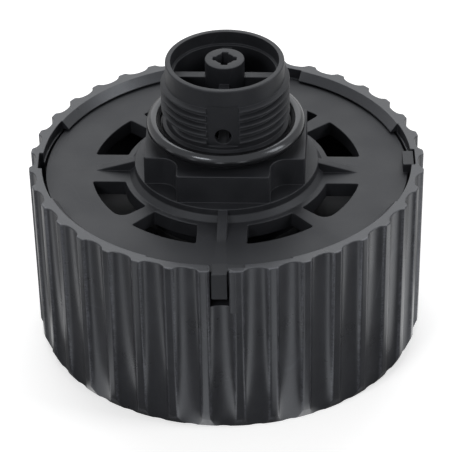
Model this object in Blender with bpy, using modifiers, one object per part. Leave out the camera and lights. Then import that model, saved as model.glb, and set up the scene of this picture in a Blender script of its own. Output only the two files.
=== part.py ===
"""A tank breather filter with a male threaded neck, standing on its closed cap.

The fluted cap is the cup. The base, one moulding, closes it: a round plate with eight air
windows, a square hub for the spanner, and the neck that screws into the tank. Between them
sits a pleated element. Air goes in at the windows, round the element, through its pleats,
up the perforated tube and out at the neck.

Origin: the middle of the cap's closed face, which is the face it stands on. +Z runs up along
the neck, and -Y is the side with the slot in the cap and the slot in the thread.
"""

import math

import bmesh
import bpy
from mathutils import Matrix

# General
GAP = 0.0003
EMBED = 0.0005
FACE_STEP = 0.0001
THROUGH = 0.001
FINE_STEPS = 60
PLAIN_STEPS = 48

# Cap
CAP_HEIGHT = 0.0395
CAP_CREST_RADIUS = 0.0409
CAP_DRAFT = 0.0010
CAP_FLOOR = 0.0023
FLUTE_COUNT = 36
FLUTE_DEPTH = 0.00125
FLUTE_CREST_WIDTH = 0.0019
FLUTE_FIRST_VALLEY = math.radians(0.6)
FLUTE_STATIONS = (-1.0, -0.86, -0.45, 0.0, 0.45, 0.86, 1.0)
FOOT_CHAMFER_WIDTH = 0.0010
FOOT_CHAMFER_HEIGHT = 0.0022
FLOOR_FILLET = 0.0012
RIM_WALL = 0.0016
LIP_REACH = 0.0015
LIP_THICKNESS = 0.00185
LIP_EDGE = 0.00025
LIP_RECESS_HALF_ANGLE = math.radians(22.5)
LIP_RECESS_PLAY = 0.0002
POCKET_PLAY = 0.00055
SHOULDER_WIDTH = 0.00115

# Rim notches and the latch at the front
NOTCH_WIDTH = 0.0058
NOTCH_SKIN = 0.0019
NOTCH_DEPTH = 0.0070
NOTCH_ANGLES = (math.radians(3), math.radians(90), math.radians(181))
FRONT_NOTCH_LEFT = -0.0018
FRONT_NOTCH_RIGHT = 0.0052
SLOT_WIDTH = 0.0038
SLOT_DEPTH = 0.0090
SLOT_POST_WIDTH = 0.0014
SLOT_POST_LENGTH = 0.0100
TAB_SINK = 0.0010
TAB_THICKNESS = 0.0022
TONGUE_END_PLAY = 0.0020
TONGUE_THICKNESS = 0.0013
TONGUE_INSET = 0.0006
SIDE_TAB_SINK = 0.0002

# Base plate
PLATE_RECESS = 0.00215
PLATE_THICKNESS = 0.0032
WINDOW_INNER_BAND = 0.0012
WINDOW_DEPTH = 0.0066
WINDOW_WEB_WIDTH = 0.0102
WINDOW_SPOKE_ANGLE = math.radians(7.4)
WINDOW_CORNER = 0.0004
WINDOW_SPOKE_CORNER = 0.0022
WINDOW_ARC_STEPS = 4

# Collar, hub and gussets
COLLAR_MARGIN = 0.00015
COLLAR_HEIGHT = 0.00255
COLLAR_FOOT = 0.0011
HUB_ACROSS_FLATS = 0.0330
HUB_HEIGHT = 0.0088
HUB_FLAT_WIDTH = 0.0191
HUB_OUTER_CORNER = 0.0006
HUB_INNER_FILLET = 0.0035
GUSSET_WIDTH = 0.0020
GUSSET_LENGTH = 0.0083
GUSSET_DROP = 0.00015

# Neck and thread, G 3/4
NECK_HEIGHT = 0.0265
THREAD_MAJOR_RADIUS = 0.01322
THREAD_PITCH = 0.001814
THREAD_FLANK = math.radians(27.5)
THREAD_CREST_WIDTH = 0.00040
THREAD_STEPS_A_TURN = 24
THREAD_TOP_PLAIN = 0.0026
THREAD_START = math.radians(196.5)
THREAD_ROOT_FILL = 0.00014
NECK_EDGE = 0.0003
BORE_RADIUS = 0.01045
BORE_MOUTH_STEP = 0.00065
BORE_MOUTH_DEPTH = 0.0028
THREAD_SLOT_WIDTH = 0.0068
THREAD_SLOT_FLOOR = 0.0118
THREAD_SLOT_DROP = 0.0036
CROSS_HOLE_RADIUS = 0.0017
CROSS_HOLE_DROP = 0.0110

# Post and ribs inside the neck
POST_RADIUS = 0.00405
POST_LENGTH = 0.0180
POST_RISE = 0.0004
RIB_THICKNESS = 0.0021
RIB_DROP = 0.0034
SOCKET_RADIUS = 0.0019
SOCKET_ARM_LENGTH = 0.0049
SOCKET_ARM_WIDTH = 0.0014
SOCKET_DEPTH = 0.0060

# Seal ring round the neck
GRIP_STEP = 0.00100
RING_SECTION = 0.0030
RING_LIFT = 0.0015
RING_SECTION_POINTS = 10

# Element
SPIGOT_WALL = 0.0028
SPIGOT_LENGTH = 0.0079
LAND_WIDTH = 0.0042
LAND_HEIGHT = 0.0044
SEAL_THICKNESS = 0.0020
ELEMENT_RADIUS = 0.0288
END_PLATE_THICKNESS = 0.0015
END_PLATE_LIP = 0.0009
END_PLATE_LIP_HEIGHT = 0.0022
ELEMENT_SEAT_HEIGHT = 0.0030
ELEMENT_SEAT_WIDTH = 0.0020
ELEMENT_SEAT_LIP = 0.0015
TUBE_WALL = 0.0010
TUBE_CLEARANCE = 0.0006
TUBE_SLOT_ROWS = 2
TUBE_SLOT_COLUMNS = 8
TUBE_SLOT_WIDTH = 0.0052
TUBE_WEB = 0.0032
PLEAT_COUNT = 44
PLEAT_PAPER = 0.0007
PLEAT_FOLD_SHARE = 0.16

# Levels that follow from the sizes above
RIM = CAP_HEIGHT
PLATE_TOP = RIM - PLATE_RECESS
PLATE_BOTTOM = PLATE_TOP - PLATE_THICKNESS
COLLAR_TOP = PLATE_TOP + COLLAR_HEIGHT
HUB_TOP = PLATE_TOP + HUB_HEIGHT
NECK_TOP = PLATE_TOP + NECK_HEIGHT
THREAD_TOP = NECK_TOP - THREAD_TOP_PLAIN
THREAD_DEPTH = 0.6403 * THREAD_PITCH
THREAD_MINOR_RADIUS = THREAD_MAJOR_RADIUS - THREAD_DEPTH
NECK_RADIUS = THREAD_MINOR_RADIUS + THREAD_ROOT_FILL
GRIP_RADIUS = THREAD_MINOR_RADIUS + GRIP_STEP
RING_BOTTOM = HUB_TOP + RING_LIFT
RING_TOP = RING_BOTTOM + RING_SECTION
HUB_FLAT = HUB_ACROSS_FLATS / 2
HUB_CORNER_REACH = HUB_OUTER_CORNER + math.hypot(
    HUB_FLAT - HUB_OUTER_CORNER, HUB_FLAT_WIDTH / 2 - HUB_OUTER_CORNER
)
COLLAR_RADIUS = HUB_CORNER_REACH + COLLAR_MARGIN
GUSSET_REACH = COLLAR_RADIUS + GUSSET_LENGTH
WINDOW_INNER_RADIUS = COLLAR_RADIUS + COLLAR_FOOT + WINDOW_INNER_BAND
WINDOW_OUTER_RADIUS = WINDOW_INNER_RADIUS + WINDOW_DEPTH
BORE_MOUTH_RADIUS = BORE_RADIUS + BORE_MOUTH_STEP
FOOT_RADIUS = CAP_CREST_RADIUS - CAP_DRAFT
POCKET_RADIUS = CAP_CREST_RADIUS - FLUTE_DEPTH - RIM_WALL
PLATE_RADIUS = POCKET_RADIUS - POCKET_PLAY
NOTCH_OUTER_RADIUS = CAP_CREST_RADIUS - NOTCH_SKIN
TONGUE_FACE_RADIUS = CAP_CREST_RADIUS - TONGUE_INSET
SHOULDER_RADIUS = POCKET_RADIUS - SHOULDER_WIDTH
SHOULDER_LEVEL = PLATE_BOTTOM - GAP
LIP_RADIUS = POCKET_RADIUS - LIP_REACH
LIP_BOTTOM = RIM - LIP_THICKNESS
SPIGOT_RADIUS = BORE_RADIUS + SPIGOT_WALL
SPIGOT_BOTTOM = PLATE_BOTTOM - SPIGOT_LENGTH
LAND_RADIUS = SPIGOT_RADIUS + LAND_WIDTH
LAND_BOTTOM = PLATE_BOTTOM - LAND_HEIGHT
SEAL_TOP = LAND_BOTTOM - GAP
SEAL_BOTTOM = SEAL_TOP - SEAL_THICKNESS
UPPER_PLATE_TOP = SEAL_BOTTOM - GAP
UPPER_PLATE_BOTTOM = UPPER_PLATE_TOP - END_PLATE_THICKNESS
SEAT_LEVEL = CAP_FLOOR + ELEMENT_SEAT_HEIGHT
LOWER_PLATE_BOTTOM = SEAT_LEVEL + GAP
LOWER_PLATE_TOP = LOWER_PLATE_BOTTOM + END_PLATE_THICKNESS
CORE_BOTTOM = LOWER_PLATE_TOP + GAP
CORE_TOP = UPPER_PLATE_BOTTOM - GAP
TUBE_INNER_RADIUS = SPIGOT_RADIUS + TUBE_CLEARANCE
TUBE_OUTER_RADIUS = TUBE_INNER_RADIUS + TUBE_WALL
MEDIA_INNER_RADIUS = TUBE_OUTER_RADIUS + GAP
MEDIA_OUTER_RADIUS = ELEMENT_RADIUS - END_PLATE_LIP - GAP

QUARTERS = tuple(math.radians(90 * i) for i in range(4))
LEFT, FRONT = QUARTERS[2:]


def clear_scene():
    for obj in list(bpy.data.objects):
        bpy.data.objects.remove(obj, do_unlink=True)


def new_collection(name):
    collection = bpy.data.collections.new(name)
    bpy.context.scene.collection.children.link(collection)
    return collection


def plastic(name, colour, roughness):
    material = bpy.data.materials.new(name)
    material.use_nodes = True
    shader = material.node_tree.nodes["Principled BSDF"]
    shader.inputs["Base Color"].default_value = (*colour, 1)
    shader.inputs["Roughness"].default_value = roughness
    shader.inputs["Metallic"].default_value = 0
    return material


def add_part(mesh, material, smooth_angle=35):
    """A finished piece: its own material, and smooth shading between its sharp edges."""
    mesh.materials.append(material)
    mesh.shade_smooth()
    mesh.set_sharp_from_angle(angle=math.radians(smooth_angle))
    obj = bpy.data.objects.new(mesh.name, mesh)
    PARTS.objects.link(obj)
    return obj


def add_tool(mesh):
    """A shape that only cuts or adds to another."""
    obj = bpy.data.objects.new(mesh.name, mesh)
    obj.hide_render = True
    obj.display_type = "WIRE"
    TOOLS.objects.link(obj)
    return obj


def mesh_from(bm, name):
    bmesh.ops.recalc_face_normals(bm, faces=bm.faces)
    mesh = bpy.data.meshes.new(name)
    bm.to_mesh(mesh)
    bm.free()
    return mesh


def boolean(target, tool, operation):
    modifier = target.modifiers.new(tool.name, "BOOLEAN")
    modifier.object = tool
    modifier.operation = operation
    modifier.solver = "EXACT"


def cut(target, mesh):
    boolean(target, add_tool(mesh), "DIFFERENCE")


def fuse(target, mesh):
    boolean(target, add_tool(mesh), "UNION")


def screwed(obj, steps):
    """Turns the profile of an object round Z. It must come before the Booleans."""
    modifier = obj.modifiers.new("turn", "SCREW")
    modifier.steps = steps
    modifier.render_steps = steps
    modifier.use_merge_vertices = True
    modifier.merge_threshold = 0.00001
    return obj


def profile_mesh(name, points, closed):
    """The (radius, height) points as a wire at +X, down the outer side from the top."""
    bm = bmesh.new()
    verts = [bm.verts.new((radius, 0, height)) for radius, height in points]
    for first, second in zip(verts, verts[1:]):
        bm.edges.new((first, second))
    if closed:
        bm.edges.new((verts[-1], verts[0]))
    mesh = bpy.data.meshes.new(name)
    bm.to_mesh(mesh)
    bm.free()
    return mesh


def turned_part(name, points, material, steps=FINE_STEPS, closed=False):
    return screwed(add_part(profile_mesh(name, points, closed), material), steps)


def turned_tool(name, points, steps=FINE_STEPS, closed=False):
    return screwed(add_tool(profile_mesh(name, points, closed)), steps)


def add_prism(bm, outline, bottom, top, top_scale=1.0):
    """Raises the flat outline from one level to another, wider or narrower at the top."""
    face = bm.faces.new([bm.verts.new((x, y, bottom)) for x, y in outline])
    raised = bmesh.ops.extrude_face_region(bm, geom=[face])["geom"]
    verts = [item for item in raised if isinstance(item, bmesh.types.BMVert)]
    bmesh.ops.translate(bm, verts=verts, vec=(0, 0, top - bottom))
    bmesh.ops.scale(bm, verts=verts, vec=(top_scale, top_scale, 1))


def prism_mesh(name, outlines, bottom, top, top_scale=1.0):
    bm = bmesh.new()
    for outline in outlines:
        add_prism(bm, outline, bottom, top, top_scale)
    return mesh_from(bm, name)


def rectangle(x_low, x_high, y_low, y_high):
    return [(x_low, y_low), (x_high, y_low), (x_high, y_high), (x_low, y_high)]


def turn_outline(outline, angle):
    c, s = math.cos(angle), math.sin(angle)
    return [(x * c - y * s, x * s + y * c) for x, y in outline]


def arc(radius, start, end, steps):
    angles = [start + (end - start) * i / steps for i in range(steps + 1)]
    return [(radius * math.cos(a), radius * math.sin(a)) for a in angles]


def rounded(corners, steps=3):
    """Replaces each corner (x, y, radius) by an arc that touches both of its sides."""
    outline = []
    for i, (x, y, radius) in enumerate(corners):
        before, after = corners[i - 1], corners[(i + 1) % len(corners)]
        if radius == 0:
            outline.append((x, y))
            continue
        to_before = math.atan2(before[1] - y, before[0] - x)
        to_after = math.atan2(after[1] - y, after[0] - x)
        opening = math.remainder(to_after - to_before, 2 * math.pi)
        reach = radius / math.sin(abs(opening) / 2)
        middle = to_before + opening / 2
        centre = (x + reach * math.cos(middle), y + reach * math.sin(middle))
        start = to_before - math.copysign(math.pi / 2, opening)
        sweep = math.copysign(math.pi - abs(opening), -opening)
        for k in range(steps + 1):
            angle = start + sweep * k / steps
            outline.append(
                (centre[0] + radius * math.cos(angle), centre[1] + radius * math.sin(angle))
            )
    return outline


def fluted_outline(crest_radius):
    """Flat crests with half-ellipse valleys between them."""
    pitch = 2 * math.pi / FLUTE_COUNT
    half_valley = pitch / 2 - FLUTE_CREST_WIDTH / 2 / crest_radius
    outline = []
    for flute in range(FLUTE_COUNT):
        middle = FLUTE_FIRST_VALLEY + flute * pitch
        for station in FLUTE_STATIONS:
            radius = crest_radius - FLUTE_DEPTH * math.sqrt(1 - station * station)
            angle = middle + station * half_valley
            outline.append((radius * math.cos(angle), radius * math.sin(angle)))
    return outline


def cap_hollow_profile():
    """From above the rim, down past the lip, the plate's pocket and the wall, to the floor."""
    slope = LIP_REACH / (LIP_THICKNESS - LIP_EDGE)
    wall_bottom = SHOULDER_RADIUS - CAP_DRAFT
    seat_inner = ELEMENT_RADIUS - ELEMENT_SEAT_WIDTH
    seat_outer = ELEMENT_RADIUS + GAP
    ring_outer = seat_outer + ELEMENT_SEAT_LIP
    return [
        (0, RIM + THROUGH),
        (POCKET_RADIUS + slope * THROUGH, RIM + THROUGH),
        (LIP_RADIUS, LIP_BOTTOM + LIP_EDGE),
        (LIP_RADIUS, LIP_BOTTOM),
        (POCKET_RADIUS, LIP_BOTTOM),
        (POCKET_RADIUS, SHOULDER_LEVEL),
        (SHOULDER_RADIUS, SHOULDER_LEVEL),
        (wall_bottom, CAP_FLOOR + FLOOR_FILLET),
        (wall_bottom - FLOOR_FILLET, CAP_FLOOR),
        (ring_outer, CAP_FLOOR),
        (ring_outer, SEAT_LEVEL + END_PLATE_THICKNESS),
        (seat_outer, SEAT_LEVEL + END_PLATE_THICKNESS),
        (seat_outer, SEAT_LEVEL),
        (seat_inner, SEAT_LEVEL),
        (seat_inner, CAP_FLOOR),
        (0, CAP_FLOOR),
    ]


def lip_recess(angle):
    """The stretch of rim without a lip, at each quarter."""
    half = LIP_RECESS_HALF_ANGLE
    outer = arc(POCKET_RADIUS + LIP_RECESS_PLAY, angle - half, angle + half, 9)
    inner = arc(LIP_RADIUS - THROUGH, angle + half, angle - half, 9)
    return outer + inner


def notch_outline(angle, left, right):
    """A notch behind the rim's outer wall. Left and right are seen from the outside."""
    block = rectangle(LIP_RADIUS - THROUGH, NOTCH_OUTER_RADIUS, left, right)
    return turn_outline(block, angle)


def foot_chamfer_profile():
    """Outside the cone that takes the feet of the crests off, and leaves a round bottom edge."""
    slope = FOOT_CHAMFER_WIDTH / FOOT_CHAMFER_HEIGHT
    outside = CAP_CREST_RADIUS + THROUGH
    return [
        (outside, FOOT_CHAMFER_HEIGHT + (outside - FOOT_RADIUS) / slope),
        (outside, -THROUGH),
        (FOOT_RADIUS - FOOT_CHAMFER_WIDTH - slope * THROUGH, -THROUGH),
    ]


def make_cap():
    body = prism_mesh(
        "cap", [fluted_outline(FOOT_RADIUS)], 0, RIM, CAP_CREST_RADIUS / FOOT_RADIUS
    )
    cap = add_part(body, plastic("cap black plastic", (0.028, 0.028, 0.030), 0.5))
    chamfer = turned_tool("foot_chamfer", foot_chamfer_profile(), 2 * FLUTE_COUNT, True)
    boolean(cap, chamfer, "DIFFERENCE")
    post_left = FRONT_NOTCH_LEFT + SLOT_WIDTH + GAP / 2
    post_face = CAP_CREST_RADIUS - FACE_STEP
    post = rectangle(NOTCH_OUTER_RADIUS, post_face, post_left, post_left + SLOT_POST_WIDTH)
    fuse(cap, prism_mesh("slot_post", [turn_outline(post, FRONT)], RIM - SLOT_POST_LENGTH, RIM))
    boolean(cap, turned_tool("cap_hollow", cap_hollow_profile()), "DIFFERENCE")
    recesses = [lip_recess(angle) for angle in QUARTERS]
    cut(cap, prism_mesh("lip_recesses", recesses, LIP_BOTTOM - EMBED, RIM + THROUGH))
    half = NOTCH_WIDTH / 2
    notches = [notch_outline(angle, -half, half) for angle in NOTCH_ANGLES]
    notches.append(notch_outline(FRONT, FRONT_NOTCH_LEFT, FRONT_NOTCH_RIGHT))
    cut(cap, prism_mesh("rim_notches", notches, RIM - NOTCH_DEPTH, RIM + THROUGH))
    slot = rectangle(
        LIP_RADIUS,
        CAP_CREST_RADIUS + THROUGH,
        FRONT_NOTCH_LEFT,
        FRONT_NOTCH_LEFT + SLOT_WIDTH,
    )
    cut(cap, prism_mesh("front_slot", [turn_outline(slot, FRONT)], RIM - SLOT_DEPTH, RIM + THROUGH))
    return cap


def window_outline(start, end, first, last):
    """One air window between two rays, with the radii of its two outer corners."""
    outer = arc(WINDOW_OUTER_RADIUS, start[1], end[1], WINDOW_ARC_STEPS)
    inner = arc(WINDOW_INNER_RADIUS, end[0], start[0], WINDOW_ARC_STEPS)
    outer_radii = [first] + [0] * (WINDOW_ARC_STEPS - 1) + [last]
    inner_radii = [WINDOW_CORNER] + [0] * (WINDOW_ARC_STEPS - 1) + [WINDOW_CORNER]
    corners = [(x, y, r) for (x, y), r in zip(outer + inner, outer_radii + inner_radii)]
    return rounded(corners)


def window_outlines():
    """Two windows a quarter, parted by a radial spoke, between webs with straight sides.

    The two windows in front of the side webs have a rounder corner at their spoke.
    """
    half = WINDOW_WEB_WIDTH / 2
    web = (math.asin(half / WINDOW_INNER_RADIUS), math.asin(half / WINDOW_OUTER_RADIUS))
    spoke = math.radians(45) - WINDOW_SPOKE_ANGLE / 2
    right_angle = math.radians(90)
    far_spoke, far_web = right_angle - spoke, (right_angle - web[0], right_angle - web[1])
    outlines = []
    for angle in QUARTERS:
        near_corner = WINDOW_SPOKE_CORNER if angle == LEFT else WINDOW_CORNER
        far_corner = WINDOW_SPOKE_CORNER if angle == FRONT else WINDOW_CORNER
        near = window_outline(web, (spoke, spoke), WINDOW_CORNER, near_corner)
        far = window_outline((far_spoke, far_spoke), far_web, far_corner, WINDOW_CORNER)
        outlines += [turn_outline(near, angle), turn_outline(far, angle)]
    return outlines


def hub_outline():
    """A square with its four corners notched out, each notch ending in a round fillet."""
    flat, half = HUB_FLAT, HUB_FLAT_WIDTH / 2
    corners = []
    for angle in QUARTERS:
        arm = [(flat, -half), (flat, half), (half, half)]
        radii = (HUB_OUTER_CORNER, HUB_OUTER_CORNER, HUB_INNER_FILLET)
        turned = turn_outline(arm, angle)
        corners += [(x, y, radius) for (x, y), radius in zip(turned, radii)]
    return rounded(corners, 4)


def base_profile():
    """The base's turned skin, from the neck's mouth down to the spigot, without its bore."""
    undercut = RING_TOP - RING_SECTION / 4
    return [
        (0, NECK_TOP + POST_RISE),
        (BORE_RADIUS, NECK_TOP + POST_RISE),
        (BORE_RADIUS, NECK_TOP),
        (NECK_RADIUS - NECK_EDGE, NECK_TOP),
        (NECK_RADIUS, NECK_TOP - NECK_EDGE),
        (NECK_RADIUS, undercut),
        (GRIP_RADIUS, undercut - NECK_EDGE),
        (GRIP_RADIUS, COLLAR_TOP),
        (COLLAR_RADIUS, COLLAR_TOP),
        (COLLAR_RADIUS, PLATE_TOP + COLLAR_FOOT),
        (COLLAR_RADIUS + COLLAR_FOOT, PLATE_TOP),
        (PLATE_RADIUS, PLATE_TOP),
        (PLATE_RADIUS, PLATE_BOTTOM),
        (LAND_RADIUS, PLATE_BOTTOM),
        (LAND_RADIUS, LAND_BOTTOM),
        (SPIGOT_RADIUS, LAND_BOTTOM),
        (SPIGOT_RADIUS, SPIGOT_BOTTOM + NECK_EDGE),
        (SPIGOT_RADIUS - NECK_EDGE, SPIGOT_BOTTOM),
        (0, SPIGOT_BOTTOM),
    ]


def bore_profile():
    return [
        (0, NECK_TOP + THROUGH),
        (BORE_MOUTH_RADIUS, NECK_TOP + THROUGH),
        (BORE_MOUTH_RADIUS, NECK_TOP - BORE_MOUTH_DEPTH),
        (BORE_RADIUS, NECK_TOP - BORE_MOUTH_DEPTH),
        (BORE_RADIUS, SPIGOT_BOTTOM - THROUGH),
        (0, SPIGOT_BOTTOM - THROUGH),
    ]


def thread_ridge():
    """The thread's ridge: its section carried up a helix, with the foot sunk in the neck."""
    foot_radius = THREAD_MINOR_RADIUS - EMBED
    half_crest = THREAD_CREST_WIDTH / 2
    half_root = half_crest + THREAD_DEPTH * math.tan(THREAD_FLANK)
    start = RING_TOP + half_root
    turns = (THREAD_TOP - half_root - start) / THREAD_PITCH
    section = [
        (foot_radius, start - half_root),
        (THREAD_MINOR_RADIUS, start - half_root),
        (THREAD_MAJOR_RADIUS, start - half_crest),
        (THREAD_MAJOR_RADIUS, start + half_crest),
        (THREAD_MINOR_RADIUS, start + half_root),
        (foot_radius, start + half_root),
    ]
    bm = bmesh.new()
    face = bm.faces.new([bm.verts.new((radius, 0, height)) for radius, height in section])
    steps = round(turns * THREAD_STEPS_A_TURN)
    bmesh.ops.spin(
        bm,
        geom=[face, *face.edges, *face.verts],
        cent=(0, 0, 0),
        axis=(0, 0, 1),
        dvec=(0, 0, turns * THREAD_PITCH / steps),
        angle=2 * math.pi * turns,
        steps=steps,
        use_duplicate=False,
    )
    bmesh.ops.rotate(bm, verts=bm.verts, matrix=Matrix.Rotation(THREAD_START, 3, "Z"))
    return mesh_from(bm, "thread_ridge")


def add_side_prism(bm, side, left, right, angle):
    """Raises a (radius, height) outline sideways from left to right, then turns it round Z."""
    corners = [bm.verts.new((radius, left, height)) for radius, height in side]
    raised = bmesh.ops.extrude_face_region(bm, geom=[bm.faces.new(corners)])["geom"]
    verts = [item for item in raised if isinstance(item, bmesh.types.BMVert)]
    bmesh.ops.translate(bm, verts=verts, vec=(0, right - left, 0))
    bmesh.ops.rotate(bm, verts=verts + corners, matrix=Matrix.Rotation(angle, 3, "Z"))


def gusset_mesh():
    """Four ramps that rise from the plate and meet the collar just under its edge."""
    foot, root = PLATE_TOP - EMBED, COLLAR_RADIUS - EMBED
    slope = (COLLAR_HEIGHT - GUSSET_DROP) / GUSSET_LENGTH
    top = PLATE_TOP + slope * (GUSSET_REACH - root)
    side = [(root, foot), (GUSSET_REACH, foot), (GUSSET_REACH, PLATE_TOP), (root, top)]
    bm = bmesh.new()
    for angle in QUARTERS:
        add_side_prism(bm, side, -GUSSET_WIDTH / 2, GUSSET_WIDTH / 2, angle)
    return mesh_from(bm, "gussets")


def bore_tool():
    """The core that leaves the neck hollow: all of the bore but the post and its four ribs."""
    bore = turned_tool("neck_bore", bore_profile())
    half, reach = RIB_THICKNESS / 2, BORE_MOUTH_RADIUS + THROUGH
    cross = []
    for angle in QUARTERS:
        cross += turn_outline([(reach, -half), (reach, half), (half, half)], angle)
    post_foot = NECK_TOP - POST_LENGTH
    cut(bore, prism_mesh("neck_ribs", [cross], post_foot + EMBED, NECK_TOP - RIB_DROP))
    post = arc(POST_RADIUS, 0, 2 * math.pi, 24)[:-1]
    cut(bore, prism_mesh("post", [post], post_foot, NECK_TOP + 2 * THROUGH))
    return bore


def socket_mesh():
    """The post's cross-shaped recess."""
    reach, half = SOCKET_ARM_LENGTH / 2, SOCKET_ARM_WIDTH / 2
    inner = math.sqrt(SOCKET_RADIUS ** 2 - half ** 2)
    spread = math.asin(half / SOCKET_RADIUS)
    outline = []
    for angle in QUARTERS:
        outline += turn_outline([(inner, -half), (reach, -half), (reach, half)], angle)
        outline += arc(SOCKET_RADIUS, angle + spread, angle + math.pi / 2 - spread, 4)[:-1]
    return prism_mesh("post_socket", [outline], NECK_TOP - SOCKET_DEPTH, NECK_TOP + THROUGH)


def add_tabs(base):
    """The lugs on the plate's edge: one at the right, one at the back and the front latch."""
    foot, root = PLATE_BOTTOM + EMBED, PLATE_RADIUS - THROUGH
    reach, half = NOTCH_OUTER_RADIUS - GAP, NOTCH_WIDTH / 2 - GAP
    block = rectangle(root, reach, -half, half)
    lugs = [turn_outline(block, angle) for angle in NOTCH_ANGLES[:2]]
    fuse(base, prism_mesh("side_lugs", lugs, foot, RIM - SIDE_TAB_SINK))
    left, right = FRONT_NOTCH_LEFT + GAP, FRONT_NOTCH_RIGHT - GAP
    tongue_right = FRONT_NOTCH_LEFT + SLOT_WIDTH - GAP
    top, face = RIM - TAB_SINK, TONGUE_FACE_RADIUS
    back = face - TONGUE_THICKNESS
    tongue_end = RIM - SLOT_DEPTH + TONGUE_END_PLAY
    hook = [
        (root, top - TAB_THICKNESS),
        (back, top - TAB_THICKNESS),
        (back, tongue_end),
        (face, tongue_end),
        (face, top),
        (root, top),
    ]
    bm = bmesh.new()
    add_side_prism(bm, hook, left, tongue_right, FRONT)
    fuse(base, mesh_from(bm, "latch_tongue"))
    tab = turn_outline(rectangle(root - FACE_STEP, reach, tongue_right - EMBED, right), FRONT)
    low, high = top - TAB_THICKNESS + FACE_STEP, top - FACE_STEP
    fuse(base, prism_mesh("latch_tab", [tab], low, high))


def make_base():
    material = plastic("base black plastic", (0.026, 0.026, 0.028), 0.45)
    base = turned_part("base", base_profile(), material)
    fuse(base, prism_mesh("hub", [hub_outline()], COLLAR_TOP - EMBED, HUB_TOP))
    fuse(base, gusset_mesh())
    fuse(base, thread_ridge())
    boolean(base, bore_tool(), "DIFFERENCE")
    cut(
        base,
        prism_mesh("air_windows", window_outlines(), PLATE_BOTTOM - THROUGH, PLATE_TOP + THROUGH),
    )
    half = THREAD_SLOT_WIDTH / 2
    slot = rectangle(THREAD_SLOT_FLOOR, THREAD_MAJOR_RADIUS + THROUGH, -half, half)
    slot_top = NECK_TOP - THREAD_SLOT_DROP
    cut(base, prism_mesh("thread_slot", [turn_outline(slot, FRONT)], RING_TOP, slot_top))
    cut(base, cross_hole_mesh())
    cut(base, socket_mesh())
    add_tabs(base)
    return base


def cross_hole_mesh():
    """The round hole through the neck's wall, at the foot of the thread's slot."""
    bm = bmesh.new()
    bmesh.ops.create_cone(
        bm,
        cap_ends=True,
        segments=20,
        radius1=CROSS_HOLE_RADIUS,
        radius2=CROSS_HOLE_RADIUS,
        depth=THREAD_MAJOR_RADIUS - POST_RADIUS,
    )
    middle = -(THREAD_MAJOR_RADIUS + POST_RADIUS) / 2 - THROUGH
    place = Matrix.Translation((0, middle, NECK_TOP - CROSS_HOLE_DROP))
    bmesh.ops.transform(bm, verts=bm.verts, matrix=place @ Matrix.Rotation(math.pi / 2, 4, "X"))
    return mesh_from(bm, "cross_hole")


def make_ring():
    """The seal ring, drawn up the neck to the foot of the thread."""
    half = RING_SECTION / 2
    middle = GRIP_RADIUS + GAP + half
    centre = RING_BOTTOM + half
    points = []
    for i in range(RING_SECTION_POINTS):
        angle = math.pi / 2 - 2 * math.pi * i / RING_SECTION_POINTS
        points.append((middle + half * math.cos(angle), centre + half * math.sin(angle)))
    material = plastic("black rubber", (0.012, 0.012, 0.013), 0.25)
    return turned_part("o_ring", points, material, PLAIN_STEPS, True)


def make_element_seal():
    inner, outer = SPIGOT_RADIUS + GAP, LAND_RADIUS - GAP
    points = [(inner, SEAL_TOP), (outer, SEAL_TOP), (outer, SEAL_BOTTOM), (inner, SEAL_BOTTOM)]
    material = plastic("foam rubber", (0.03, 0.03, 0.03), 0.9)
    return turned_part("element_seal", points, material, PLAIN_STEPS, True)


def make_upper_end_plate():
    """The open end: a washer with an outer lip down over the pleats."""
    inner = SPIGOT_RADIUS + 2 * GAP
    lip = ELEMENT_RADIUS - END_PLATE_LIP
    points = [
        (inner, UPPER_PLATE_TOP),
        (ELEMENT_RADIUS, UPPER_PLATE_TOP),
        (ELEMENT_RADIUS, UPPER_PLATE_BOTTOM - END_PLATE_LIP_HEIGHT),
        (lip, UPPER_PLATE_BOTTOM - END_PLATE_LIP_HEIGHT),
        (lip, UPPER_PLATE_BOTTOM),
        (inner, UPPER_PLATE_BOTTOM),
    ]
    material = plastic("end plate black plastic", (0.04, 0.04, 0.042), 0.5)
    return turned_part("element_upper_plate", points, material, PLAIN_STEPS, True)


def make_lower_end_plate():
    """The closed end: a dished disc with an outer lip up round the pleats."""
    lip = ELEMENT_RADIUS - END_PLATE_LIP
    points = [
        (0, LOWER_PLATE_TOP),
        (lip, LOWER_PLATE_TOP),
        (lip, LOWER_PLATE_TOP + END_PLATE_LIP_HEIGHT),
        (ELEMENT_RADIUS, LOWER_PLATE_TOP + END_PLATE_LIP_HEIGHT),
        (ELEMENT_RADIUS, LOWER_PLATE_BOTTOM),
        (0, LOWER_PLATE_BOTTOM),
    ]
    material = plastic("end plate black plastic", (0.04, 0.04, 0.042), 0.5)
    return turned_part("element_lower_plate", points, material, PLAIN_STEPS)


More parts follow.
